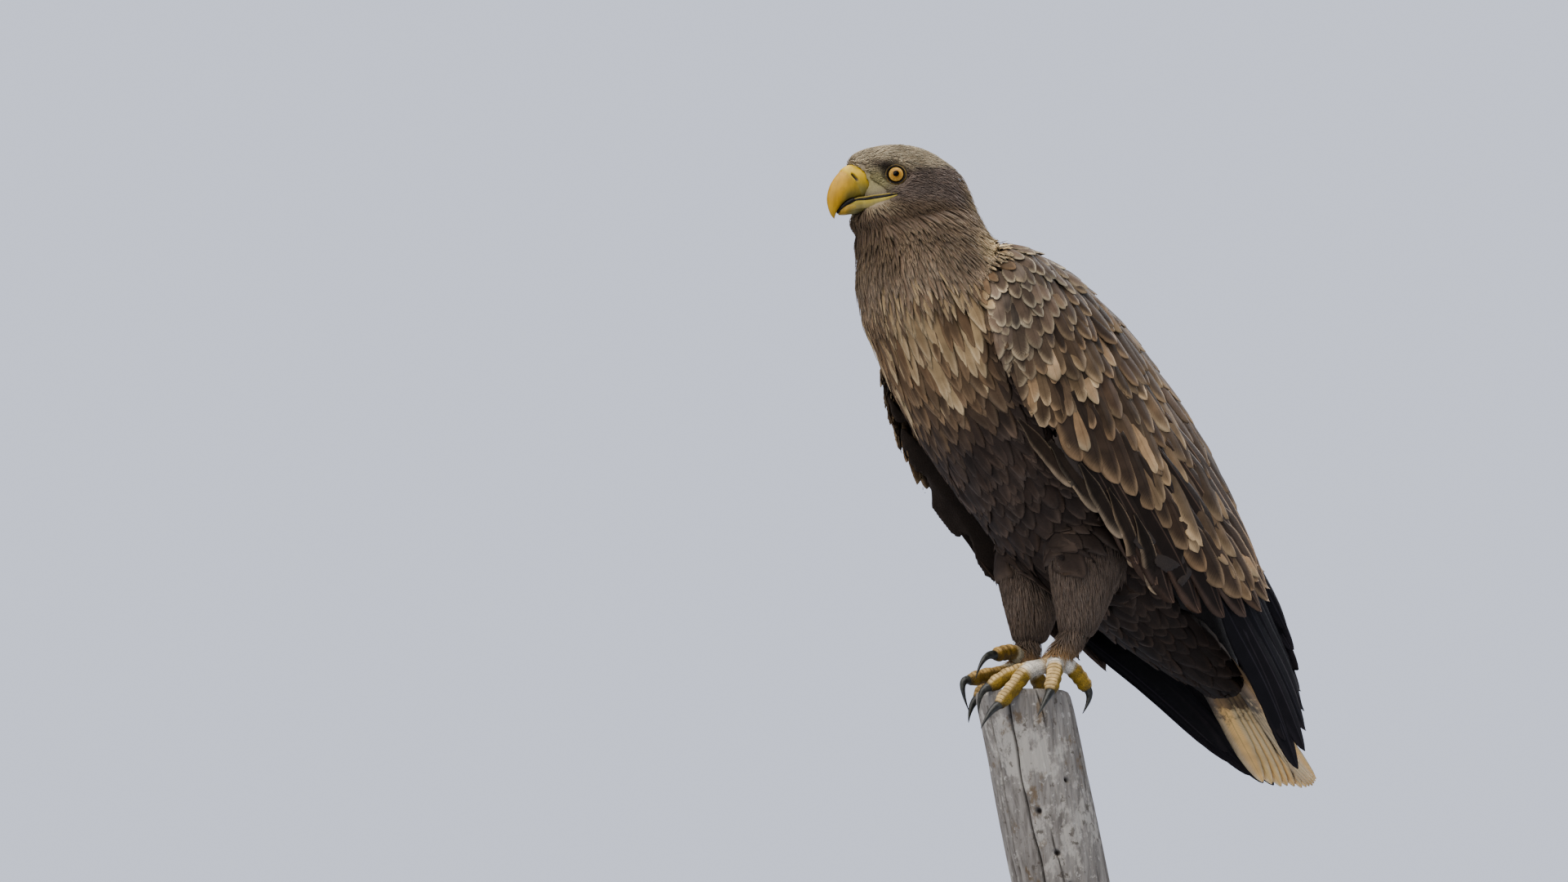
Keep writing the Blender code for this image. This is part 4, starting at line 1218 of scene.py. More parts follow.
def long_vanes(guide, starts, bends, ends, widths, layers, dice, lift_way, rows=24, tops=9):
    """Flight feathers: each follows a curve from start over bend to end on the guide's outer side."""
    count = len(starts)
    share = 1 - (1 - np.linspace(0, 1, rows)) ** 1.2
    across = np.linspace(-1, 1, tops)
    t, wide = share[None, :, None], widths[:, None, None]
    spine = (1 - t) ** 2 * starts[:, None] + 2 * t * (1 - t) * bends[:, None] + t * t * ends[:, None]
    heading = unit(np.gradient(spine, axis=1))
    cross = unit(np.cross(np.broadcast_to(lift_way, heading.shape), heading))
    half = vane_outline(share, 0.25, 0.62, 2.6)
    half[-1] = 0.06
    half = half[None, :, None]
    uneven = np.where(across < 0, 1.25, 0.75)
    ragged = two_sided(across, 1 + 0.012 * dice.standard_normal((count, rows, 2)))
    spread = half * across * uneven * ragged * wide / 2
    flat = spine[:, :, None] + cross[:, :, None] * spread[..., None]
    flat = drape(guide, flat.reshape(-1, 3), lift_way).reshape(count, rows, tops, 3)
    level = flat @ lift_way
    height = (calmed(level) - level - layers[:, None, None] - 0.05 * wide * across ** 2 * half
              + 0.012 * wide * (1 - np.abs(across)) ** 6)
    top = flat + lift_way * height[..., None]
    under = top[:, :, tops // 2] - lift_way * 1.2 * MM * (0.4 + 0.6 * half)
    lengths = np.linalg.norm(ends - starts, axis=1)
    return vane_batch(top, under, share, across, lengths, widths, dice)


# tips (along, out) of the outer feathers of a folded wing, in the body's frame
LEAD_TIPS = ((14, 158), (-30, 154), (-74, 150), (-116, 145), (-158, 139))
# the right hand is spread lower: its tips from the back edge to the lowest
LOOSE_TIPS = ((250, 306), (275, 296), (300, 284), (322, 270), (342, 254), (356, 240), (366, 224), (352, 214),
              (330, 205), (300, 196))
ARM_TIPS = ((-34, 154), (2, 160), (34, 166), (68, 186), (96, 208), (118, 232), (132, 256), (138, 280),
            (134, 298), (120, 312))
HAND_TIPS = ((190, 290), (212, 280), (232, 268), (250, 252), (266, 236), (280, 218), (292, 198), (298, 176),
             (285, 182), (262, 184))
COVERT_TIPS = ((-172, 163), (-146, 174), (-120, 185), (-94, 195), (-66, 204), (-34, 210), (0, 213), (36, 217),
               (68, 226), (96, 240), (108, 266), (110, 284), (102, 302))
# each row: colours, tips, length, bow, width, the slope that it reaches (degrees), depth under the wing's
# face, step in depth; slope and depth start at the first feather in the tip rows, else at the last
FLIGHT_ROWS = (
    ("tip", HAND_TIPS, 250.0, 26.0, 30.0, -13.0, 3.4, 0.25),
    ("flight", ARM_TIPS, 235.0, 10.0, 32.0, -7.0, 0.3, 0.20),
    ("lead", LEAD_TIPS, 98.0, 4.0, 19.0, -13.0, 0.9, -0.12),
    ("covert", COVERT_TIPS, 92.0, 5.0, 33.0, -26.0, -0.3, 0.10),
)
LOOSE_ROW = ("tip", LOOSE_TIPS, 300.0, 4.0, 32.0, 9.0, 2.4, 0.45)
WING_OUT = 80.0                      # the wings' feathers start from this far to the side, then drop on
SLACK_START, SLACK_LENGTH = -366.0, 478.0   # the stretch of the right wing that is folded more loosely


def flight_feathers(side_name, side, coat, finishes):
    """The hand's and the arm's feathers, and the greater coverts over them."""
    guide, _ = wing_guide(side_name)
    dice = np.random.default_rng(23 + int(side))
    lift_way = np.array((side, 0.0, 0.0))
    batches = {"flight_": [], "greater_coverts_": []}
    rows = FLIGHT_ROWS if side_name == "left" else (LOOSE_ROW, FLIGHT_ROWS[1], FLIGHT_ROWS[3])
    for key, tips, length, bow, width, slope, depth, step in rows:
        count = len(tips)
        end = np.array(tips, float)
        order = np.arange(count) if key == "tip" else np.arange(count)[::-1]
        turn = np.radians(slope * order / (count - 1))
        start = end - np.stack((np.cos(turn), np.sin(turn)), 1) * length
        bend = 0.45 * start + 0.55 * end + np.array((0.0, bow))
        if tips is not LOOSE_TIPS:
            start, bend, end = (pair + pose_shift(side_name, end) for pair in (start, bend, end))
        place = lambda pair: body_place(pair[:, 0], pair[:, 1], side * WING_OUT)
        batch = long_vanes(guide, place(start), place(bend), place(end), np.full(count, width) * MM,
                           (depth + step * order) * MM, dice, lift_way)
        high = ease(245, 295, end[:, 1]) * (key == "flight")
        tinted(batch, key, count, dice, (0.14, 0.14), (("covert", high),))
        batch["map"] = coat.map_at(place(start))
        batches["flight_" if key in ("tip", "flight") else "greater_coverts_"].append(batch)
    vanes_to_piece("flight_" + side_name, batches["flight_"], finishes[0],
                   ["primaries_" + side_name])
    vanes_to_piece("greater_coverts_" + side_name, batches["greater_coverts_"], finishes[1])


def pose_droop(side_name, along):
    """How much lower the right wing's lower edge hangs."""
    return 36.0 * ease(-0.2, 0.5, (along - SLACK_START) / SLACK_LENGTH) * (side_name == "right")


def pose_shift(side_name, tips):
    """The right arm is folded more loosely: its feathers reach further and lie lower or higher."""
    along, out = tips.T
    if side_name == "left":
        return np.zeros_like(tips)
    share = np.clip((along - SLACK_START) / SLACK_LENGTH, 0, 1)
    high = ease(200, 300, out)
    lift = 34 * ease(0.4, 0.9, share) * high - pose_droop(side_name, along) * (1 - high)
    return np.stack((42 * share, lift), 1)


TAIL_ROOT, TAIL_END, TAIL_WIDTH, TAIL_FEATHERS = 120.0, 363.0, 30.0, 12


def tail_feathers(coat, finish):
    """Twelve rectrices in a shallow wedge; the middle pair lies on top."""
    dice = np.random.default_rng(41)
    count, rows, tops = TAIL_FEATHERS, 26, 11
    share = 1 - (1 - np.linspace(0, 1, rows)) ** 1.3
    across = np.linspace(-1, 1, tops)
    place = 2 * (np.arange(count) + 0.5) / count - 1
    end = TAIL_END - 24.0 * np.abs(place) ** 1.6 - 4.0 * dice.random(count)
    half = vane_outline(share, 0.6, 0.66, 2.3)
    half[-1] = 0.05
    ragged = two_sided(across, uneven_edges(count, rows, dice) * 0.5 + 0.5)
    along = TAIL_ROOT + (end - TAIL_ROOT)[:, None] * share[None]
    fan = place[:, None] * (20.0 + 26.0 * share[None])
    side = fan[:, :, None] + half[None, :, None] * across * ragged * TAIL_WIDTH / 2
    edge = np.abs(place) * 6.0
    out = (223.0 - 18.0 * share[None, :, None] + 8.0 * (1 - (side / 50.0) ** 2) - edge[:, None, None]
           - 1.2 * across ** 2 + 0.8 * (1 - np.abs(across)) ** 6)
    top = body_place(along[:, :, None] * np.ones(tops), out, side)
    under = top[:, :, tops // 2] - BODY_AXES[1] * 1.1 * MM
    lengths, widths = (end - TAIL_ROOT) * MM, np.full(count, TAIL_WIDTH * MM)
    batch = vane_batch(top, under, share, across, lengths, widths, dice)
    tinted(batch, "tail", count, dice, (0.08, 0.05))
    batch["map"] = coat.map_at(body_place(TAIL_ROOT, 224.0, place * 20.0))
    vanes_to_piece("tail_feathers", [batch], finish, ["tail"])


def tail_finish():
    """Cream tail vanes, mottled brown towards the root and shaded along their edges."""
    f = Finish("tail_vane", roughness=0.6, Sheen_Weight=0.1, Specular_IOR_Level=0.25)
    along, width = f.number("along"), f.sum('ABSOLUTE', f.number("across"))
    base = f.mix(f.share(width, 0.3, 0.9), f.tint("core"), f.tint("rim"))
    mottle = f.noise(90.0, 6.0, None, 0.7)
    reach = f.sum('SUBTRACT', mottle, f.share(along, 0.30, 0.72, 0.15, 0.75))
    base = f.mix(f.share(reach, -0.12, 0.10, 0.0, 0.9), base, PALETTE["tail_root"])
    warm = f.noise(26.0, 4.0)
    base = f.mix(f.share(warm, 0.45, 0.70, 0.0, 0.55), base, colour("a8834f"))
    streak = f.line_noise(f.number("barb"), 0.9)
    shade = f.product(f.tone(streak, 0.90, 1.08), f.share(width, 0.02, 0.09, 0.7, 1.0),
                      f.share(width, 0.82, 1.0, 1.0, 0.62))
    f.bump(streak, 0.0003, 0.5)
    return f.paint(f.mix(1.0, base, shade, 'MULTIPLY'))


# ---------------------------------------------------------------- bill

# culmen ahead and above, cutting edge ahead and above, half width
UPPER_BILL = (
    (34.0, 9.0, 28.0, -26.0, 14.0),
    (46.0, 9.5, 41.0, -27.8, 14.5),
    (59.0, 6.5, 53.0, -29.8, 13.5),
    (69.0, -3.0, 61.0, -33.0, 11.5),
    (77.0, -15.0, 66.0, -37.5, 9.0),
    (81.0, -28.0, 69.5, -42.5, 6.5),
    (80.5, -38.0, 71.5, -46.5, 4.5),
    (77.5, -47.0, 72.5, -50.0, 2.4),
    (73.6, -52.0, 73.0, -52.4, 0.5),
)
LOWER_BILL = (
    (26.0, -29.0, 26.0, -40.0, 12.5),
    (42.0, -30.0, 42.0, -42.5, 12.0),
    (54.0, -31.8, 53.0, -45.0, 10.5),
    (61.5, -35.6, 60.5, -46.8, 8.0),
    (67.5, -41.0, 66.5, -47.6, 3.4),
)
# the inside of the mouth, coloured near black as painted shade, as the mandibles' tables give their shapes
PALATE = (
    (36.0, -26.0, 36.0, -36.0, 10.0),
    (54.0, -27.0, 53.0, -37.0, 10.0),
    (61.5, -31.0, 60.5, -40.0, 7.6),
    (67.5, -37.5, 66.0, -44.0, 4.2),
    (70.5, -43.0, 69.0, -46.5, 1.4),
)
NOSTRIL = np.array((55.0, -8.0))     # ahead and above
NOSTRIL_SLANT = math.radians(50.0)
UPPER_GRID, LOWER_GRID, PALATE_GRID = (110, 72), (70, 48), (40, 32)   # rings, and points in each


def bill_rings(table, rows, sides, narrow, squareness=2.2):
    """Rounded sections of a mandible, in the head's frame."""
    rings = smooth_rows(table, rows)
    angle = np.linspace(0, 2 * math.pi, sides, endpoint=False)
    c, s = np.cos(angle), np.sin(angle)
    reach = np.sign(c) * np.abs(c) ** (2 / squareness)
    spread = np.sign(s) * np.abs(s) ** (2 / squareness)
    front, back = rings[:, None, 0:2], rings[:, None, 2:4]
    middle = (front + back) / 2 + (back - front) / 2 * reach[None, :, None]
    half = np.maximum(rings[:, 4], 0.4)[:, None]
    side = half * spread * (1 - narrow * reach)
    return np.concatenate((middle, side[..., None]), 2)


def bill_colours(flat, cere, slit):
    """Horn, greener towards the back and darker olive along its lower side behind the hook, a yellow cere that
    is darker below, and a dark nostril.
    """
    ahead, above, _ = flat.T
    return layered(colour("9a7208"), (
        ("87701c", ease(72, 44, ahead)), ("665a22", ease(-12, -30, above) * ease(74, 58, ahead)),
        ("94700e", ease(-30, -48, above) * ease(68, 76, ahead)), ("a8880f", cere * ease(-22, -4, above)),
        ("6f6530", cere * ease(-8, -24, above)), ("0a0806", np.clip(slit * 2.0, 0, 1))))


def make_bill(finish):
    make_upper_bill(finish)
    flat = bill_rings(LOWER_BILL, *LOWER_GRID, -0.1).reshape(-1, 3)
    ahead, above, _ = flat.T
    tints = layered(colour("7d6a24"), (("8a6a14", ease(52, 64, ahead)),
                                       ("6f6640", ease(-38, -44, above) * ease(64, 50, ahead))))
    horn_piece("bill_lower_horn", flat, tints, LOWER_GRID, finish, ["bill_lower"])
    # the palate, coloured near black as painted shade in the mouth
    flat = bill_rings(PALATE, *PALATE_GRID, 0.0).reshape(-1, 3)
    horn_piece("mouth_inside", flat, np.broadcast_to(colour("0c0807"), flat.shape), PALATE_GRID, finish)


def make_upper_bill(finish):
    """The upper mandible with its raised cere, the groove before it, and a slit nostril with a lip."""
    places = bill_rings(UPPER_BILL, *UPPER_GRID, -0.22)
    flat = places.reshape(-1, 3)
    ahead, above, side = flat.T
    cere_edge = 65.3 + 0.77 * above
    cere = ease(1.2, -1.2, ahead - cere_edge)
    groove = np.exp(-((ahead - cere_edge) / 0.9) ** 2)
    back, down = (NOSTRIL - flat[:, :2]).T
    lengthwise = back * math.cos(NOSTRIL_SLANT) + down * math.sin(NOSTRIL_SLANT)
    sidewise = back * math.sin(NOSTRIL_SLANT) - down * math.cos(NOSTRIL_SLANT)
    on_side = np.abs(side) > 4
    slit = np.exp(-(np.abs(lengthwise) / 4.4) ** 4 - (np.abs(sidewise) / 1.5) ** 4) * on_side
    lip = np.exp(-(((lengthwise / 5.8) ** 2 + (sidewise / 3.0) ** 2 - 1) / 0.5) ** 2) * on_side
    out = np.stack((0 * side, 0 * side, np.sign(side)), 1)
    away = unit((places - places.mean(1, keepdims=True)).reshape(-1, 3))
    flat = flat + away * (0.7 * cere - 0.3 * groove)[:, None] + out * (0.4 * lip - 2.8 * slit)[:, None]
    horn_piece("bill_upper_horn", flat, bill_colours(flat, cere, slit), UPPER_GRID, finish, ["bill_upper"])


def horn_piece(name, flat, tints, size, finish, replaced=()):
    """A closed piece of the bill from rings of places in the head's frame."""
    new_piece(name, head_points(flat), closed_faces(*size), finish, [("core", tints)], replaced)


# the mouth's line: ahead, above and out, from the bill back to its corner below the eye
GAPE = ((60.0, -35.6, 5.6), (53.0, -32.0, 8.8), (46.0, -30.8, 12.2), (39.0, -31.0, 15.6), (31.0, -30.4, 20.0),
        (23.0, -29.0, 25.0), (16.0, -27.6, 29.0))
LIP_STEPS, LIP_SIDES = 60, 14


def gape_path(skin, side):
    """Places along the mouth's line on bill and cheek, with the ways out from it there."""
    path = smooth_rows(GAPE, LIP_STEPS)
    reach = []
    for ahead, above, given in path:
        start = head_place(ahead, above, side * 80.0)
        spot = skin.tree.ray_cast(Vector(start), Vector(-HEAD_AXES[2] * side), 79 * MM)[0]
        found = given if spot is None else abs(in_head(np.array(spot))[2])
        reach.append(blend(found, given, float(ease(40, 46, ahead))))
    reach = np.array(reach)
    for _ in range(10):
        reach[1:-1] = (reach[:-2] + 2 * reach[1:-1] + reach[2:]) / 4
    spots = head_place(path[:, 0], path[:, 1], side * reach)
    forward = unit(np.gradient(spots, axis=0))
    facing = unit(np.cross(forward, HEAD_AXES[1]))
    facing = facing * np.sign(facing @ (HEAD_AXES[2] * side))[:, None]
    return spots, facing


def lip_parts():
    """Name, side of the gap, height and thickness along the mouth, and colours above and below."""
    share = np.linspace(0, 1, LIP_STEPS)
    front = lambda length: np.sqrt(np.clip(share / length, 0.02, 1))
    close = np.sqrt(np.clip(1 - share ** 6, 0.02, 1))
    thin = close * front(0.25)
    gap = np.interp(share, (0, 0.3, 0.5, 0.8, 1), (0.3, 1.0, 1.4, 1.1, 0.2))
    deep = np.interp(share, (0, 0.2, 0.5, 0.75, 1), (4.8, 5.0, 4.4, 3.0, 1.2))
    # the mouth_ piece between the lips is coloured near black as painted shade in the gap
    return gap, (("lip_upper_", 1.0, 0.8 * thin, 0.9 * thin, ("7c6a2a", "7c6a2a")),
                 ("lip_lower_", -1.0, deep * close * front(0.08), 1.3 * thin, ("80701f", "6c6136")),
                 ("mouth_", 0.0, gap + 0.6, 0.6 + 0 * thin, ("0c0807", "0c0807")))


def make_gape(skin, finish):
    """Fleshy yellow lips that carry the mouth's line back below the eye, with the mouth between them coloured
    near black as painted shade.
    """
    angle = np.linspace(0, 2 * math.pi, LIP_SIDES, endpoint=False)
    gap, parts = lip_parts()
    for side_name, side in SIDES:
        spots, facing = gape_path(skin, side)
        for name, up, tall, thick, (upper, lower) in parts:
            rise = (up * (gap + tall))[:, None] + tall[:, None] * np.cos(angle)
            stand = 0.4 + thick[:, None] * np.sin(angle)
            places = (spots[:, None] + HEAD_AXES[1] * rise[..., None] * MM
                      + facing[:, None] * stand[..., None] * MM)
            low = np.broadcast_to(ease(0.5, -0.3, np.cos(angle)), rise.shape).reshape(-1)
            core = towards(colour(upper), colour(lower), low)
            new_piece(name + side_name, places.reshape(-1, 3), closed_faces(LIP_STEPS, LIP_SIDES), finish,
                      [("core", core)])


# ---------------------------------------------------------------- eyes

EYE_ROWS, EYE_TURNS = 44, 60
CORNEA_EDGE, CORNEA_RISE = 44.0, 0.7      # degrees from the line of sight, millimetres
LID_TURNS, LID_RING = 72, 12
LID_HALF_WIDTH, LID_HALF_HEIGHT = 1.45, 1.0


def gaze_rays(angle, turn, side):
    """Unit rays at an angle (radians) from the line of sight, turned round it."""
    over = unit(np.cross(GAZE, (1.0, 0.0, 0.0)))
    right = np.cross(over, GAZE)
    ray = (np.cos(angle)[..., None] * GAZE + np.sin(angle)[..., None]
           * (np.cos(turn)[..., None] * right + np.sin(turn)[..., None] * over))
    return ray * (1.0, 1.0, side)


def make_eyes(finish, lid_finish):
    """Two eyeballs that look out of the head, each with its cornea and the rim of its lids."""
    for side_name, side in SIDES:
        middle = EYE * (1.0, 1.0, side)
        angle = np.linspace(0.6, 150.0, EYE_ROWS)
        turn = np.linspace(0, 2 * math.pi, EYE_TURNS, endpoint=False) * side
        a, t = np.meshgrid(np.radians(angle), turn, indexing="ij")
        bulge = np.cos(np.clip(a / math.radians(CORNEA_EDGE), 0, 1) * math.pi / 2) ** 2
        places = middle + gaze_rays(a, t, side) * (EYE_RADIUS + CORNEA_RISE * bulge)[..., None]
        new_piece("eyeball_" + side_name, head_points(places), closed_faces(EYE_ROWS, EYE_TURNS),
                  finish, [("angle", np.repeat(angle, EYE_TURNS))], ["eye_" + side_name])
        make_lid(side_name, side, middle, lid_finish)


def make_lid(side_name, side, middle, finish):
    """The bare rim of the lids, a ring that is dark inside and buff outside."""
    turn = np.linspace(0, 2 * math.pi, LID_TURNS, endpoint=False) * side
    ring = np.linspace(0, 2 * math.pi, LID_RING, endpoint=False)
    t, r = np.meshgrid(turn, ring, indexing="ij")
    wide = LID_HALF_WIDTH + 0.2 * np.sin(t)
    centre = math.radians(LID_ANGLE) + LID_HALF_WIDTH * 0.8 / EYE_RADIUS
    reach = EYE_RADIUS + LID_THICKNESS * 0.7 + LID_HALF_HEIGHT * np.sin(r)
    places = middle + gaze_rays(centre + wide / EYE_RADIUS * np.cos(r), t, side) * reach[..., None]
    inner = ease(0.1, -0.5, np.cos(r)).reshape(-1)
    core = towards(colour("a3874a"), colour("0f0b08"), inner)
    grid = np.arange(LID_TURNS * LID_RING).reshape(LID_TURNS, LID_RING)
    loop = np.concatenate((grid, grid[:1]))
    turned = np.roll(loop, -1, 1)
    faces = np.stack((loop[:-1], turned[:-1], turned[1:], loop[1:]), -1).reshape(-1, 4)
    new_piece("lid_" + side_name, head_points(places), [faces], finish, [("core", core)])


# ---------------------------------------------------------------- feet

# millimetres from the point between the feet
SHIN_TOP = np.array((41.0, 32.0, 66.0))   # where the left tarsus leaves the thigh
ANKLE = {"left": (36.0, 2.0, 28.0), "right": (-36.0, 22.0, 36.0)}
# each toe: knuckles from the foot outwards, then the tip of the claw
TOES = {
    "left": {
        "inner": (((26, -22, 22), (14, -44, 14), (6, -62, 2)), (2, -74, -26)),
        "middle": (((33, -30, 19), (31, -51, -1), (30, -69, -19)), (28, -92, -44)),
        "outer": (((49, -7, 24), (57, -16, 10), (62, -25, -5)), (64, -45, -31)),
        "hind": (((40, 20, 26), (42, 34, 14), (44, 42, 2)), (45, 34, -24)),
    },
    "right": {
        "inner": (((-31, 4, 45), (-27, -14, 44), (-24, -30, 40)), (-22, -58, 14)),
        "middle": (((-40, 6, 25), (-45, -24, 20), (-48, -47, 14)), (-49, -46, -19)),
        "outer": (((-50, 6, 26), (-60, -10, 12), (-64, -22, -4)), (-65, -34, -30)),
        "hind": (((-39, 38, 26), (-40, 48, 10), (-41, 52, -6)), (-42, 38, -30)),
    },
}
TOE_RADII = (9.6, 8.7, 8.4, 7.8, 6.6)     # from the ankle to the last knuckle
TOE_ROWS, SHIN_ROWS, ROD_SIDES = 40, 24, 20
SCUTE_STEP = 4.4                          # from one plate on top of a toe to the next
CLAW_RADIUS, CLAW_ROWS = 4.7, 28


def rod_rings(path, radii, sides):
    """Rings of a tapering rod along a path, turned as little as possible from one to the next."""
    forward = unit(np.gradient(path, axis=0))
    across = np.cross(forward[0], (0.0, 0.0, 1.0))
    across = across if np.linalg.norm(across) > 0.2 else np.array((1.0, 0.0, 0.0))
    frames = []
    for way in forward:
        across = unit(across - way * (across @ way))
        frames.append(across)
    frames = np.array(frames)
    over = np.cross(frames, forward)
    angle = np.linspace(0, 2 * math.pi, sides, endpoint=False)
    offset = frames[:, None] * np.cos(angle)[None, :, None] + over[:, None] * np.sin(angle)[None, :, None]
    return path[:, None] + offset * radii[:, None, None]


def foot_rods(side_name, side):
    """Paths and radii of the tarsus and then of each toe."""
    ankle = np.array(ANKLE[side_name])
    top = SHIN_TOP * (side, 1.0, 1.0)
    shin = (top + ankle) / 2 + (0.0, 2.0, 0.0)
    path = smooth_rows((top, shin, ankle, ankle + (0.0, -6.0, -9.0)), SHIN_ROWS)
    share = np.linspace(0, 1, SHIN_ROWS)
    rods = [(path, np.interp(share, (0, 0.5, 0.8, 1), (11.5, 12, 14.5, 9.5)))]
    share = np.linspace(0, 1, TOE_ROWS)
    radii = np.interp(share, (0, 0.3, 0.6, 0.85, 1.0), TOE_RADII)
    radii = radii + 1.0 * np.cos(share * math.pi * 6) ** 2 * ease(0.2, 0.5, share) - 0.6
    radii = radii * blend(1.0, 0.78, ease(0.9, 1.0, share))
    toes = [(smooth_rows((ankle, *knuckles), TOE_ROWS), radii) for knuckles, _ in TOES[side_name].values()]
    return rods + toes


def make_feet(finish, claws):
    """Each foot's claws, and its rods melted into one foot; gives the feet."""
    pieces = {}
    for side_name, side in SIDES:
        for name, (knuckles, tip) in TOES[side_name].items():
            make_claw("%s_%s" % (side_name, name), knuckles, tip, claws)
        rods = foot_rods(side_name, side)
        work = bmesh.new()
        for path, radii in rods:
            vertices = FEET + rod_rings(path, radii, ROD_SIDES).reshape(-1, 3) * MM
            faces = [face for group in closed_faces(len(path), ROD_SIDES) for face in group.tolist()]
            mesh = bpy.data.meshes.new("rod")
            mesh.from_pydata(vertices.tolist(), [], faces)
            work.from_mesh(mesh)
            bpy.data.meshes.remove(mesh)
        bmesh.ops.recalc_face_normals(work, faces=work.faces)
        mesh = remeshed(mesh_from(work, "foot"), 0.95 * MM, 3)
        pieces[side_name] = finish_foot(mesh, side_name, rods[1:], finish)
    return pieces


def foot_tints(side_name, plate, step, phase, toe_share):
    """Yellow skin, cream plates and a whitish ankle; the right foot, the far one, is painted darker as shade.
    """
    # painted shade: the far, right foot is a darker copy of the same colours
    shade = np.array((1.0, 1.0, 1.0) if side_name == "left" else (0.72, 0.66, 0.50))
    seam = plate * ease(0.16, 0.0, np.minimum(phase, 1 - phase))
    return layered(colour("86690f") * shade, (
        ("cbab74", plate * (0.1 + 0.85 * step)), ("b39468", ease(0.34, 0.10, toe_share)),
        ("ded7c8", 0.9 * ease(0.44, 0.33, toe_share) * ease(0.14, 0.24, toe_share)),
        ("4c360c", 0.9 * seam), ("463a1c", 0.8 * ease(0.90, 1.0, toe_share))),
        lambda code: colour(code) * shade)


def toe_places(local, toes):
    """How far along its nearest toe each point lies, in mm and as a share, and the toe's way there."""
    count = len(local)
    nearest = np.full(count, 1e9)
    travel, toe_share, ways = np.zeros(count), np.zeros(count), np.zeros((count, 3))
    for path, _ in toes:
        steps = np.concatenate(([0], np.cumsum(np.linalg.norm(np.diff(path, axis=0), axis=1))))
        heading = unit(np.gradient(path, axis=0))
        distance = np.linalg.norm(local[:, None] - path[None], axis=2)
        best = distance.argmin(1)
        reach = distance[np.arange(count), best]
        closer = reach < nearest
        nearest[closer] = reach[closer]
        refine = ((local - path[best]) * heading[best]).sum(1)
        travel[closer] = (steps[best] + refine)[closer]
        toe_share[closer] = (best / (len(path) - 1))[closer]
        ways[closer] = heading[best][closer]
    return travel, toe_share, ways


def finish_foot(mesh, side_name, toes, finish):
    """Raise the plates on top of the toes and colour the foot."""
    points, normals, _ = mesh_arrays(mesh)
    local = (points - FEET) / MM
    travel, toe_share, ways = toe_places(local, toes)
    over = np.array((0.0, 0.0, 1.0)) - ways * ways[:, 2:3]
    top = (normals * unit(over)).sum(1)
    plate = ease(0.30, 0.65, top) * ease(0.20, 0.36, toe_share)
    phase = (travel / SCUTE_STEP) % 1.0
    step = ease(0.0, 0.22, phase) * (1 - 0.35 * phase)
    points = points + normals * (plate * (1.0 * step - 0.25) * MM)[:, None]
    mesh.vertices.foreach_set("co", points.astype(np.float32).ravel())
    mesh.update()
    mesh.shade_smooth()
    mark(mesh, "core", foot_tints(side_name, plate, step, phase, toe_share))
    mark(mesh, "scute", plate)
    replaced = ["toe_%s_%s" % (side_name, name) for name in TOES[side_name]]
    return dress(place_object("foot_" + side_name, mesh), finish, ["tarsus_" + side_name, *replaced])


def make_claw(name, knuckles, tip, finish):
    """A sickle from the last knuckle, rising a little before it curves down to its tip."""
    start, tip = np.array(knuckles[-1], float), np.array(tip, float)
    heading = unit(start - np.array(knuckles[-2]))
    reach = np.linalg.norm(tip - start)
    control = start + heading * reach * 0.5 + np.array((0.0, 0.0, 0.22 * reach))
    t = np.linspace(0, 1, CLAW_ROWS)[:, None]
    path = (1 - t) ** 2 * (start - heading * 2) + 2 * t * (1 - t) * control + t * t * tip
    radii = CLAW_RADIUS * (1 - t[:, 0] ** 1.3) + 0.35
    vertices = FEET + rod_rings(path, radii, ROD_SIDES).reshape(-1, 3) * MM
    new_piece("talon_" + name, vertices, closed_faces(CLAW_ROWS, ROD_SIDES), finish,
              replaced=["claw_" + name])


# ---------------------------------------------------------------- snag and stand

# millimetres from the point between the feet
PERCH_TOP_CENTRE = np.array((0.0, -12.0, 0.0))
PERCH_LEAN, PERCH_LENGTH, PERCH_RADIUS = 0.25, 270.0, 50.0
# each crack: angle round the snag, depth where it starts and ends, width (degrees), depth of cut
CRACKS = ((-62, 8, 262, 2.2, 4.0), (-20, 0, 46, 1.6, 3.0), (24, 0, 120, 1.3, 2.2), (-95, 20, 200, 1.4, 3.0),
          (75, 10, 250, 1.6, 3.0), (140, 0, 180, 1.8, 3.4), (200, 30, 268, 1.5, 3.0), (-38, 150, 268, 1.4, 2.2),
          (8, 190, 266, 1.2, 2.2), (110, 100, 268, 1.2, 2.0), (250, 60, 210, 1.3, 2.4))
# each hole: angle, depth, radius
HOLES = ((-50, 128, 3.2), (-38, 172, 3.4), (-30, 205, 3.0), (60, 90, 3.0), (170, 140, 3.4), (-8, 96, 2.4))
HOLE_CUT = 5.0
ROUND_SIDES = 40                     # of the stand's rods
SNAG_ROWS, SNAG_RIM_ROWS, SNAG_TOP_ROWS, SNAG_SIDES = 256, 24, 46, 324


def degrees_off(here, there):
    return (here - there + 180) % 360 - 180


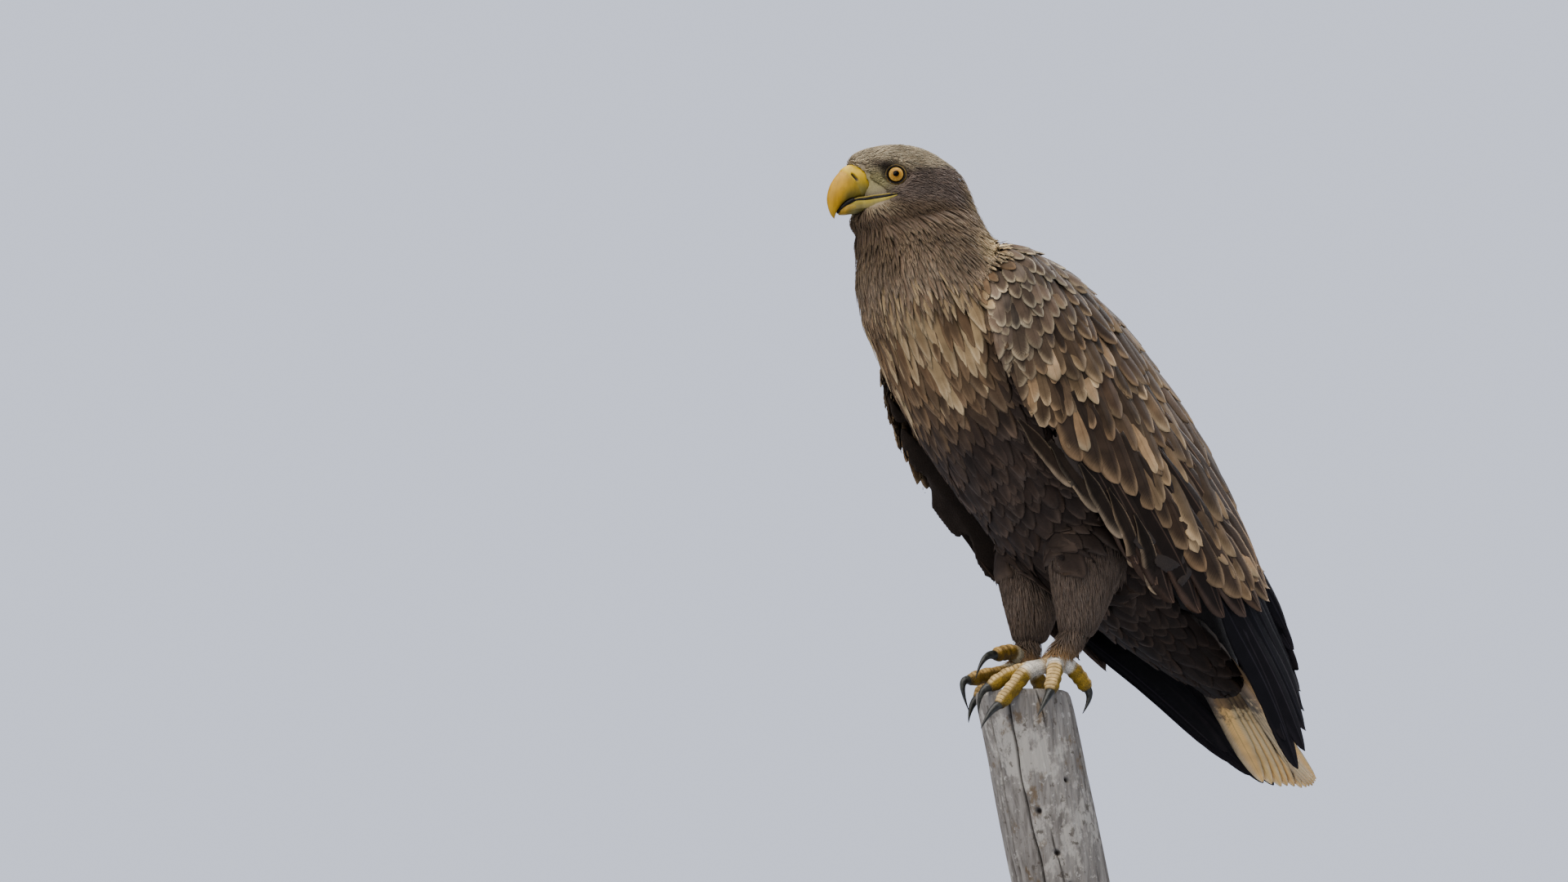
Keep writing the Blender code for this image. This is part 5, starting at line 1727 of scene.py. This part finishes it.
def snag_wall():
    """Rings of the snag's side from its rim down, and how deep in a crack or a hole each point lies."""
    depth = np.concatenate((np.linspace(0, 10, SNAG_RIM_ROWS, endpoint=False),
                            np.linspace(10, PERCH_LENGTH, SNAG_ROWS - SNAG_RIM_ROWS)))
    d, g = np.meshgrid(depth, np.linspace(0, 360, SNAG_SIDES, endpoint=False), indexing="ij")
    angle = np.radians(g)
    wave = (1.0 + 0.020 * np.sin(2 * angle + 0.6 + d * 0.004) + 0.014 * np.sin(5 * angle + d * 0.012)
            + 0.010 * np.sin(3 * angle - d * 0.02))
    shrink = np.interp(d, (0.0, 1.5, 6.0, 20.0), (0.90, 0.955, 0.985, 1.0))
    radius = PERCH_RADIUS * (1 + 0.00018 * d) * wave * shrink
    dice = np.random.default_rng(3)
    for count, strength in ((17, 0.5), (43, 0.35), (90, 0.22)):
        phase, drift = dice.random() * 6.28, dice.random() * 0.03 - 0.015
        radius += strength * np.sin(count * angle + phase + d * drift + 0.8 * np.sin(d * 0.03 + phase))
    hollow = np.zeros_like(d)
    for where, start, end, width, cut in CRACKS:
        wander = 1.6 * np.sin(d * 0.035 + where) + 0.7 * np.sin(d * 0.11 + where)
        window = ease(start - 6, start + 10, d) * ease(end + 6, end - 20, d)
        groove = np.exp(-(degrees_off(g, where + wander) / (0.55 * width)) ** 2) * window
        radius -= cut * groove
        hollow = np.maximum(hollow, groove)
    for where, level, size in HOLES:
        off = np.radians(degrees_off(g, where)) * PERCH_RADIUS
        pit = np.exp(-((off ** 2 + (d - level) ** 2) / size ** 2) ** 2)
        radius -= HOLE_CUT * pit
        hollow = np.maximum(hollow, pit)
    centre = PERCH_TOP_CENTRE + np.stack((0 * d, PERCH_LEAN * d, -d), -1)
    return centre + np.stack((radius * np.cos(angle), radius * np.sin(angle), 0 * d), -1), hollow


def snag_top(rim):
    """Rings of the worn top, from its middle out to the rim, which they leave out."""
    middle = rim.mean(0)
    rings = []
    for share in np.linspace(0.0, 0.985, SNAG_TOP_ROWS)[:0:-1]:
        ring = middle + (rim - middle) * (1 - share)
        x, y = ring[:, 0], ring[:, 1]
        reach = np.hypot(x - PERCH_TOP_CENTRE[0], y - PERCH_TOP_CENTRE[1])
        worn = 0.5 * np.sin(x * 0.55 + 2 * np.sin(y * 0.3)) + 0.35 * np.sin(y * 0.9)
        ring[:, 2] = -0.7 - 1.0 * (reach / 45) ** 2 + 0.6 * worn
        rings.append(ring)
    return np.array(rings)


def make_snag(finish):
    wall, hollow = snag_wall()
    top = snag_top(wall[0])
    places = np.concatenate((top, wall))
    hollow = np.concatenate((np.zeros(top.shape[:2]), hollow))
    # hollow marks the cracks and holes, which the snag's finish darkens as painted shade
    new_piece("snag", FEET + places.reshape(-1, 3) * MM, closed_faces(len(places), SNAG_SIDES), finish,
              [("hollow", hollow.reshape(-1))], ["perch"])


def make_stand(wood, steel):
    """Wood for the CAD's base, and a steel rod with a low collar over each of its rods."""
    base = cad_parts["stand_base"]
    base.data.materials.clear()
    base.data.materials.append(wood)
    for side_name, _ in SIDES:
        low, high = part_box("stand_rod_" + side_name)
        middle = (low + high) / 2
        radius = (high.x - low.x) / 2
        profile = ((1.0, low.z), (1.0, 0.020), (1.9, 0.0202), (1.9, 0.0235),
                   (1.75, 0.0245), (1.05, 0.0250), (1.0, 0.0256), (1.0, high.z))
        angle = np.linspace(0, 2 * math.pi, ROUND_SIDES, endpoint=False)
        rings = [np.stack((middle.x + radius * wide * np.cos(angle), middle.y + radius * wide * np.sin(angle),
                           0 * angle + level), 1) for wide, level in profile]
        piece = new_piece("display_rod_" + side_name, np.concatenate(rings),
                          closed_faces(len(profile), ROUND_SIDES), steel,
                          replaced=["stand_rod_" + side_name])
        piece.data.set_sharp_from_angle(angle=math.radians(35))


# ---------------------------------------------------------------- stage, lights and camera

CAMERA_AZIMUTH = math.radians(55.0)
CAMERA_TILT = math.radians(-10.0)    # the camera looks up
CAMERA_DISTANCE = 3.0
AIM_RIGHT, AIM_UP = -0.2658, 0.2710  # the picture's centre from the point between the feet
LENS, SENSOR = 63.92, 36.0

FLOOR_RADIUS, FLOOR_DROP = 9.0, 0.2 * MM
# lights: shares of the camera's back, right and world up in their way, distance, size, power, tint
LIGHTS = (
    ("key", (0.75, -0.55, 1.1), 2.4, 2.6, 90.0, (1.0, 0.96, 0.91)),
    ("top", (0.0, 0.0, 1.0), 2.2, 2.4, 80.0, (0.96, 0.97, 1.0)),
    ("rim", (-0.8, 0.8, 0.9), 2.4, 1.4, 60.0, (0.93, 0.96, 1.0)),
)


def camera_axes():
    back = np.array((math.sin(CAMERA_AZIMUTH) * math.cos(CAMERA_TILT),
                     -math.cos(CAMERA_AZIMUTH) * math.cos(CAMERA_TILT), math.sin(CAMERA_TILT)))
    right = np.array((math.cos(CAMERA_AZIMUTH), math.sin(CAMERA_AZIMUTH), 0.0))
    return back, right, np.cross(back, right)


def make_camera():
    back, right, up = camera_axes()
    data = bpy.data.cameras.new("camera")
    data.lens, data.sensor_width = LENS, SENSOR
    camera = place_object("camera", data)
    camera.location = FEET + right * AIM_RIGHT + up * AIM_UP + back * CAMERA_DISTANCE
    camera.rotation_euler = Vector(back).to_track_quat('Z', 'Y').to_euler()
    bpy.context.scene.camera = camera


def make_light(name, way, distance, size, power, tint):
    """A round lamp that looks at the point between the feet."""
    data = bpy.data.lights.new(name, 'AREA')
    data.shape = 'DISK'
    data.size = size
    data.energy = power
    data.color = tint
    light = place_object(name, data)
    light.location = FEET + way * distance
    light.rotation_euler = Vector(way).to_track_quat('Z', 'Y').to_euler()


def make_stage():
    work = bmesh.new()
    bmesh.ops.create_circle(work, cap_ends=True, segments=96, radius=FLOOR_RADIUS)
    floor = place_object("floor", mesh_from(work, "floor"))
    floor.data.materials.append(floor_finish())
    floor.location = (0.0, 0.0, -FLOOR_DROP)
    make_world()
    back, right, _ = camera_axes()
    for name, shares, distance, size, power, tint in LIGHTS:
        way = np.array(shares) @ (back, right, (0.0, 0.0, 1.0))
        make_light(name, unit(way), distance, size, power, tint)


def make_world():
    """An even pale backdrop that gives only a soft part of its light."""
    world = bpy.data.worlds.new("studio")
    world.use_nodes = True
    nodes, links = world.node_tree.nodes, world.node_tree.links
    seen = nodes.new("ShaderNodeBackground")
    seen.inputs["Color"].default_value = (*BACKDROP, 1.0)
    fill = nodes["Background"]
    fill.inputs["Color"].default_value = (*BACKDROP, 1.0)
    fill.inputs["Strength"].default_value = AMBIENT
    choice = nodes.new("ShaderNodeMixShader")
    links.new(nodes.new("ShaderNodeLightPath").outputs["Is Camera Ray"], choice.inputs[0])
    links.new(fill.outputs[0], choice.inputs[1])
    links.new(seen.outputs[0], choice.inputs[2])
    links.new(choice.outputs[0], nodes["World Output"].inputs["Surface"])
    bpy.context.scene.world = world


# ---------------------------------------------------------------- putting it together

def main():
    cad, owner = flesh_guide()
    coat = Coat(make_skin(cad, owner), cad, owner)
    # root, the fourth number after each name, darkens the vanes' roots: partly their own darker bases, partly
    # painted shade between overlapping vanes
    fine = feather_finish("fine_vane", 0.30, 1.20, 0.80, 0.80, 0.95, 0.30, 0.16, 0.07)
    body = feather_finish("body_vane", 0.30, 1.25, 0.76, 0.70, 0.90, 0.14, 0.20, 0.04)
    covert = feather_finish("covert_vane", 0.35, 1.25, 0.70, 0.55, 0.80, 0.30, 0.24, 0.05)
    dark = feather_finish("flight_vane", 0.75, 1.15, 0.60, 0.80, 4.0, 0.15, 0.16, 0.11)
    for seed, (name, member, style, finish, slot, lie, tone) in enumerate(tracts(fine, body), 1):
        coat.grow(name, member, style, finish, lie, seed, tone)
    for side_name, side in SIDES:
        wing_coverts(side_name, side, coat, covert)
        flight_feathers(side_name, side, coat, (dark, covert))
    tail_feathers(coat, tail_finish())
    flesh = horn_finish("bare_flesh", 0.5)
    make_bill(horn_finish("bill_horn", 0.42))
    make_gape(coat.skin, flesh)
    make_eyes(eye_finish(), flesh)
    feet = make_feet(foot_finish(), claw_finish())
    for side_name, side in SIDES:
        coat.cuff(side_name, side, feet[side_name], fine)
    make_snag(snag_finish())
    make_stand(base_finish(), steel_finish())
    make_stage()
    make_camera()


main()
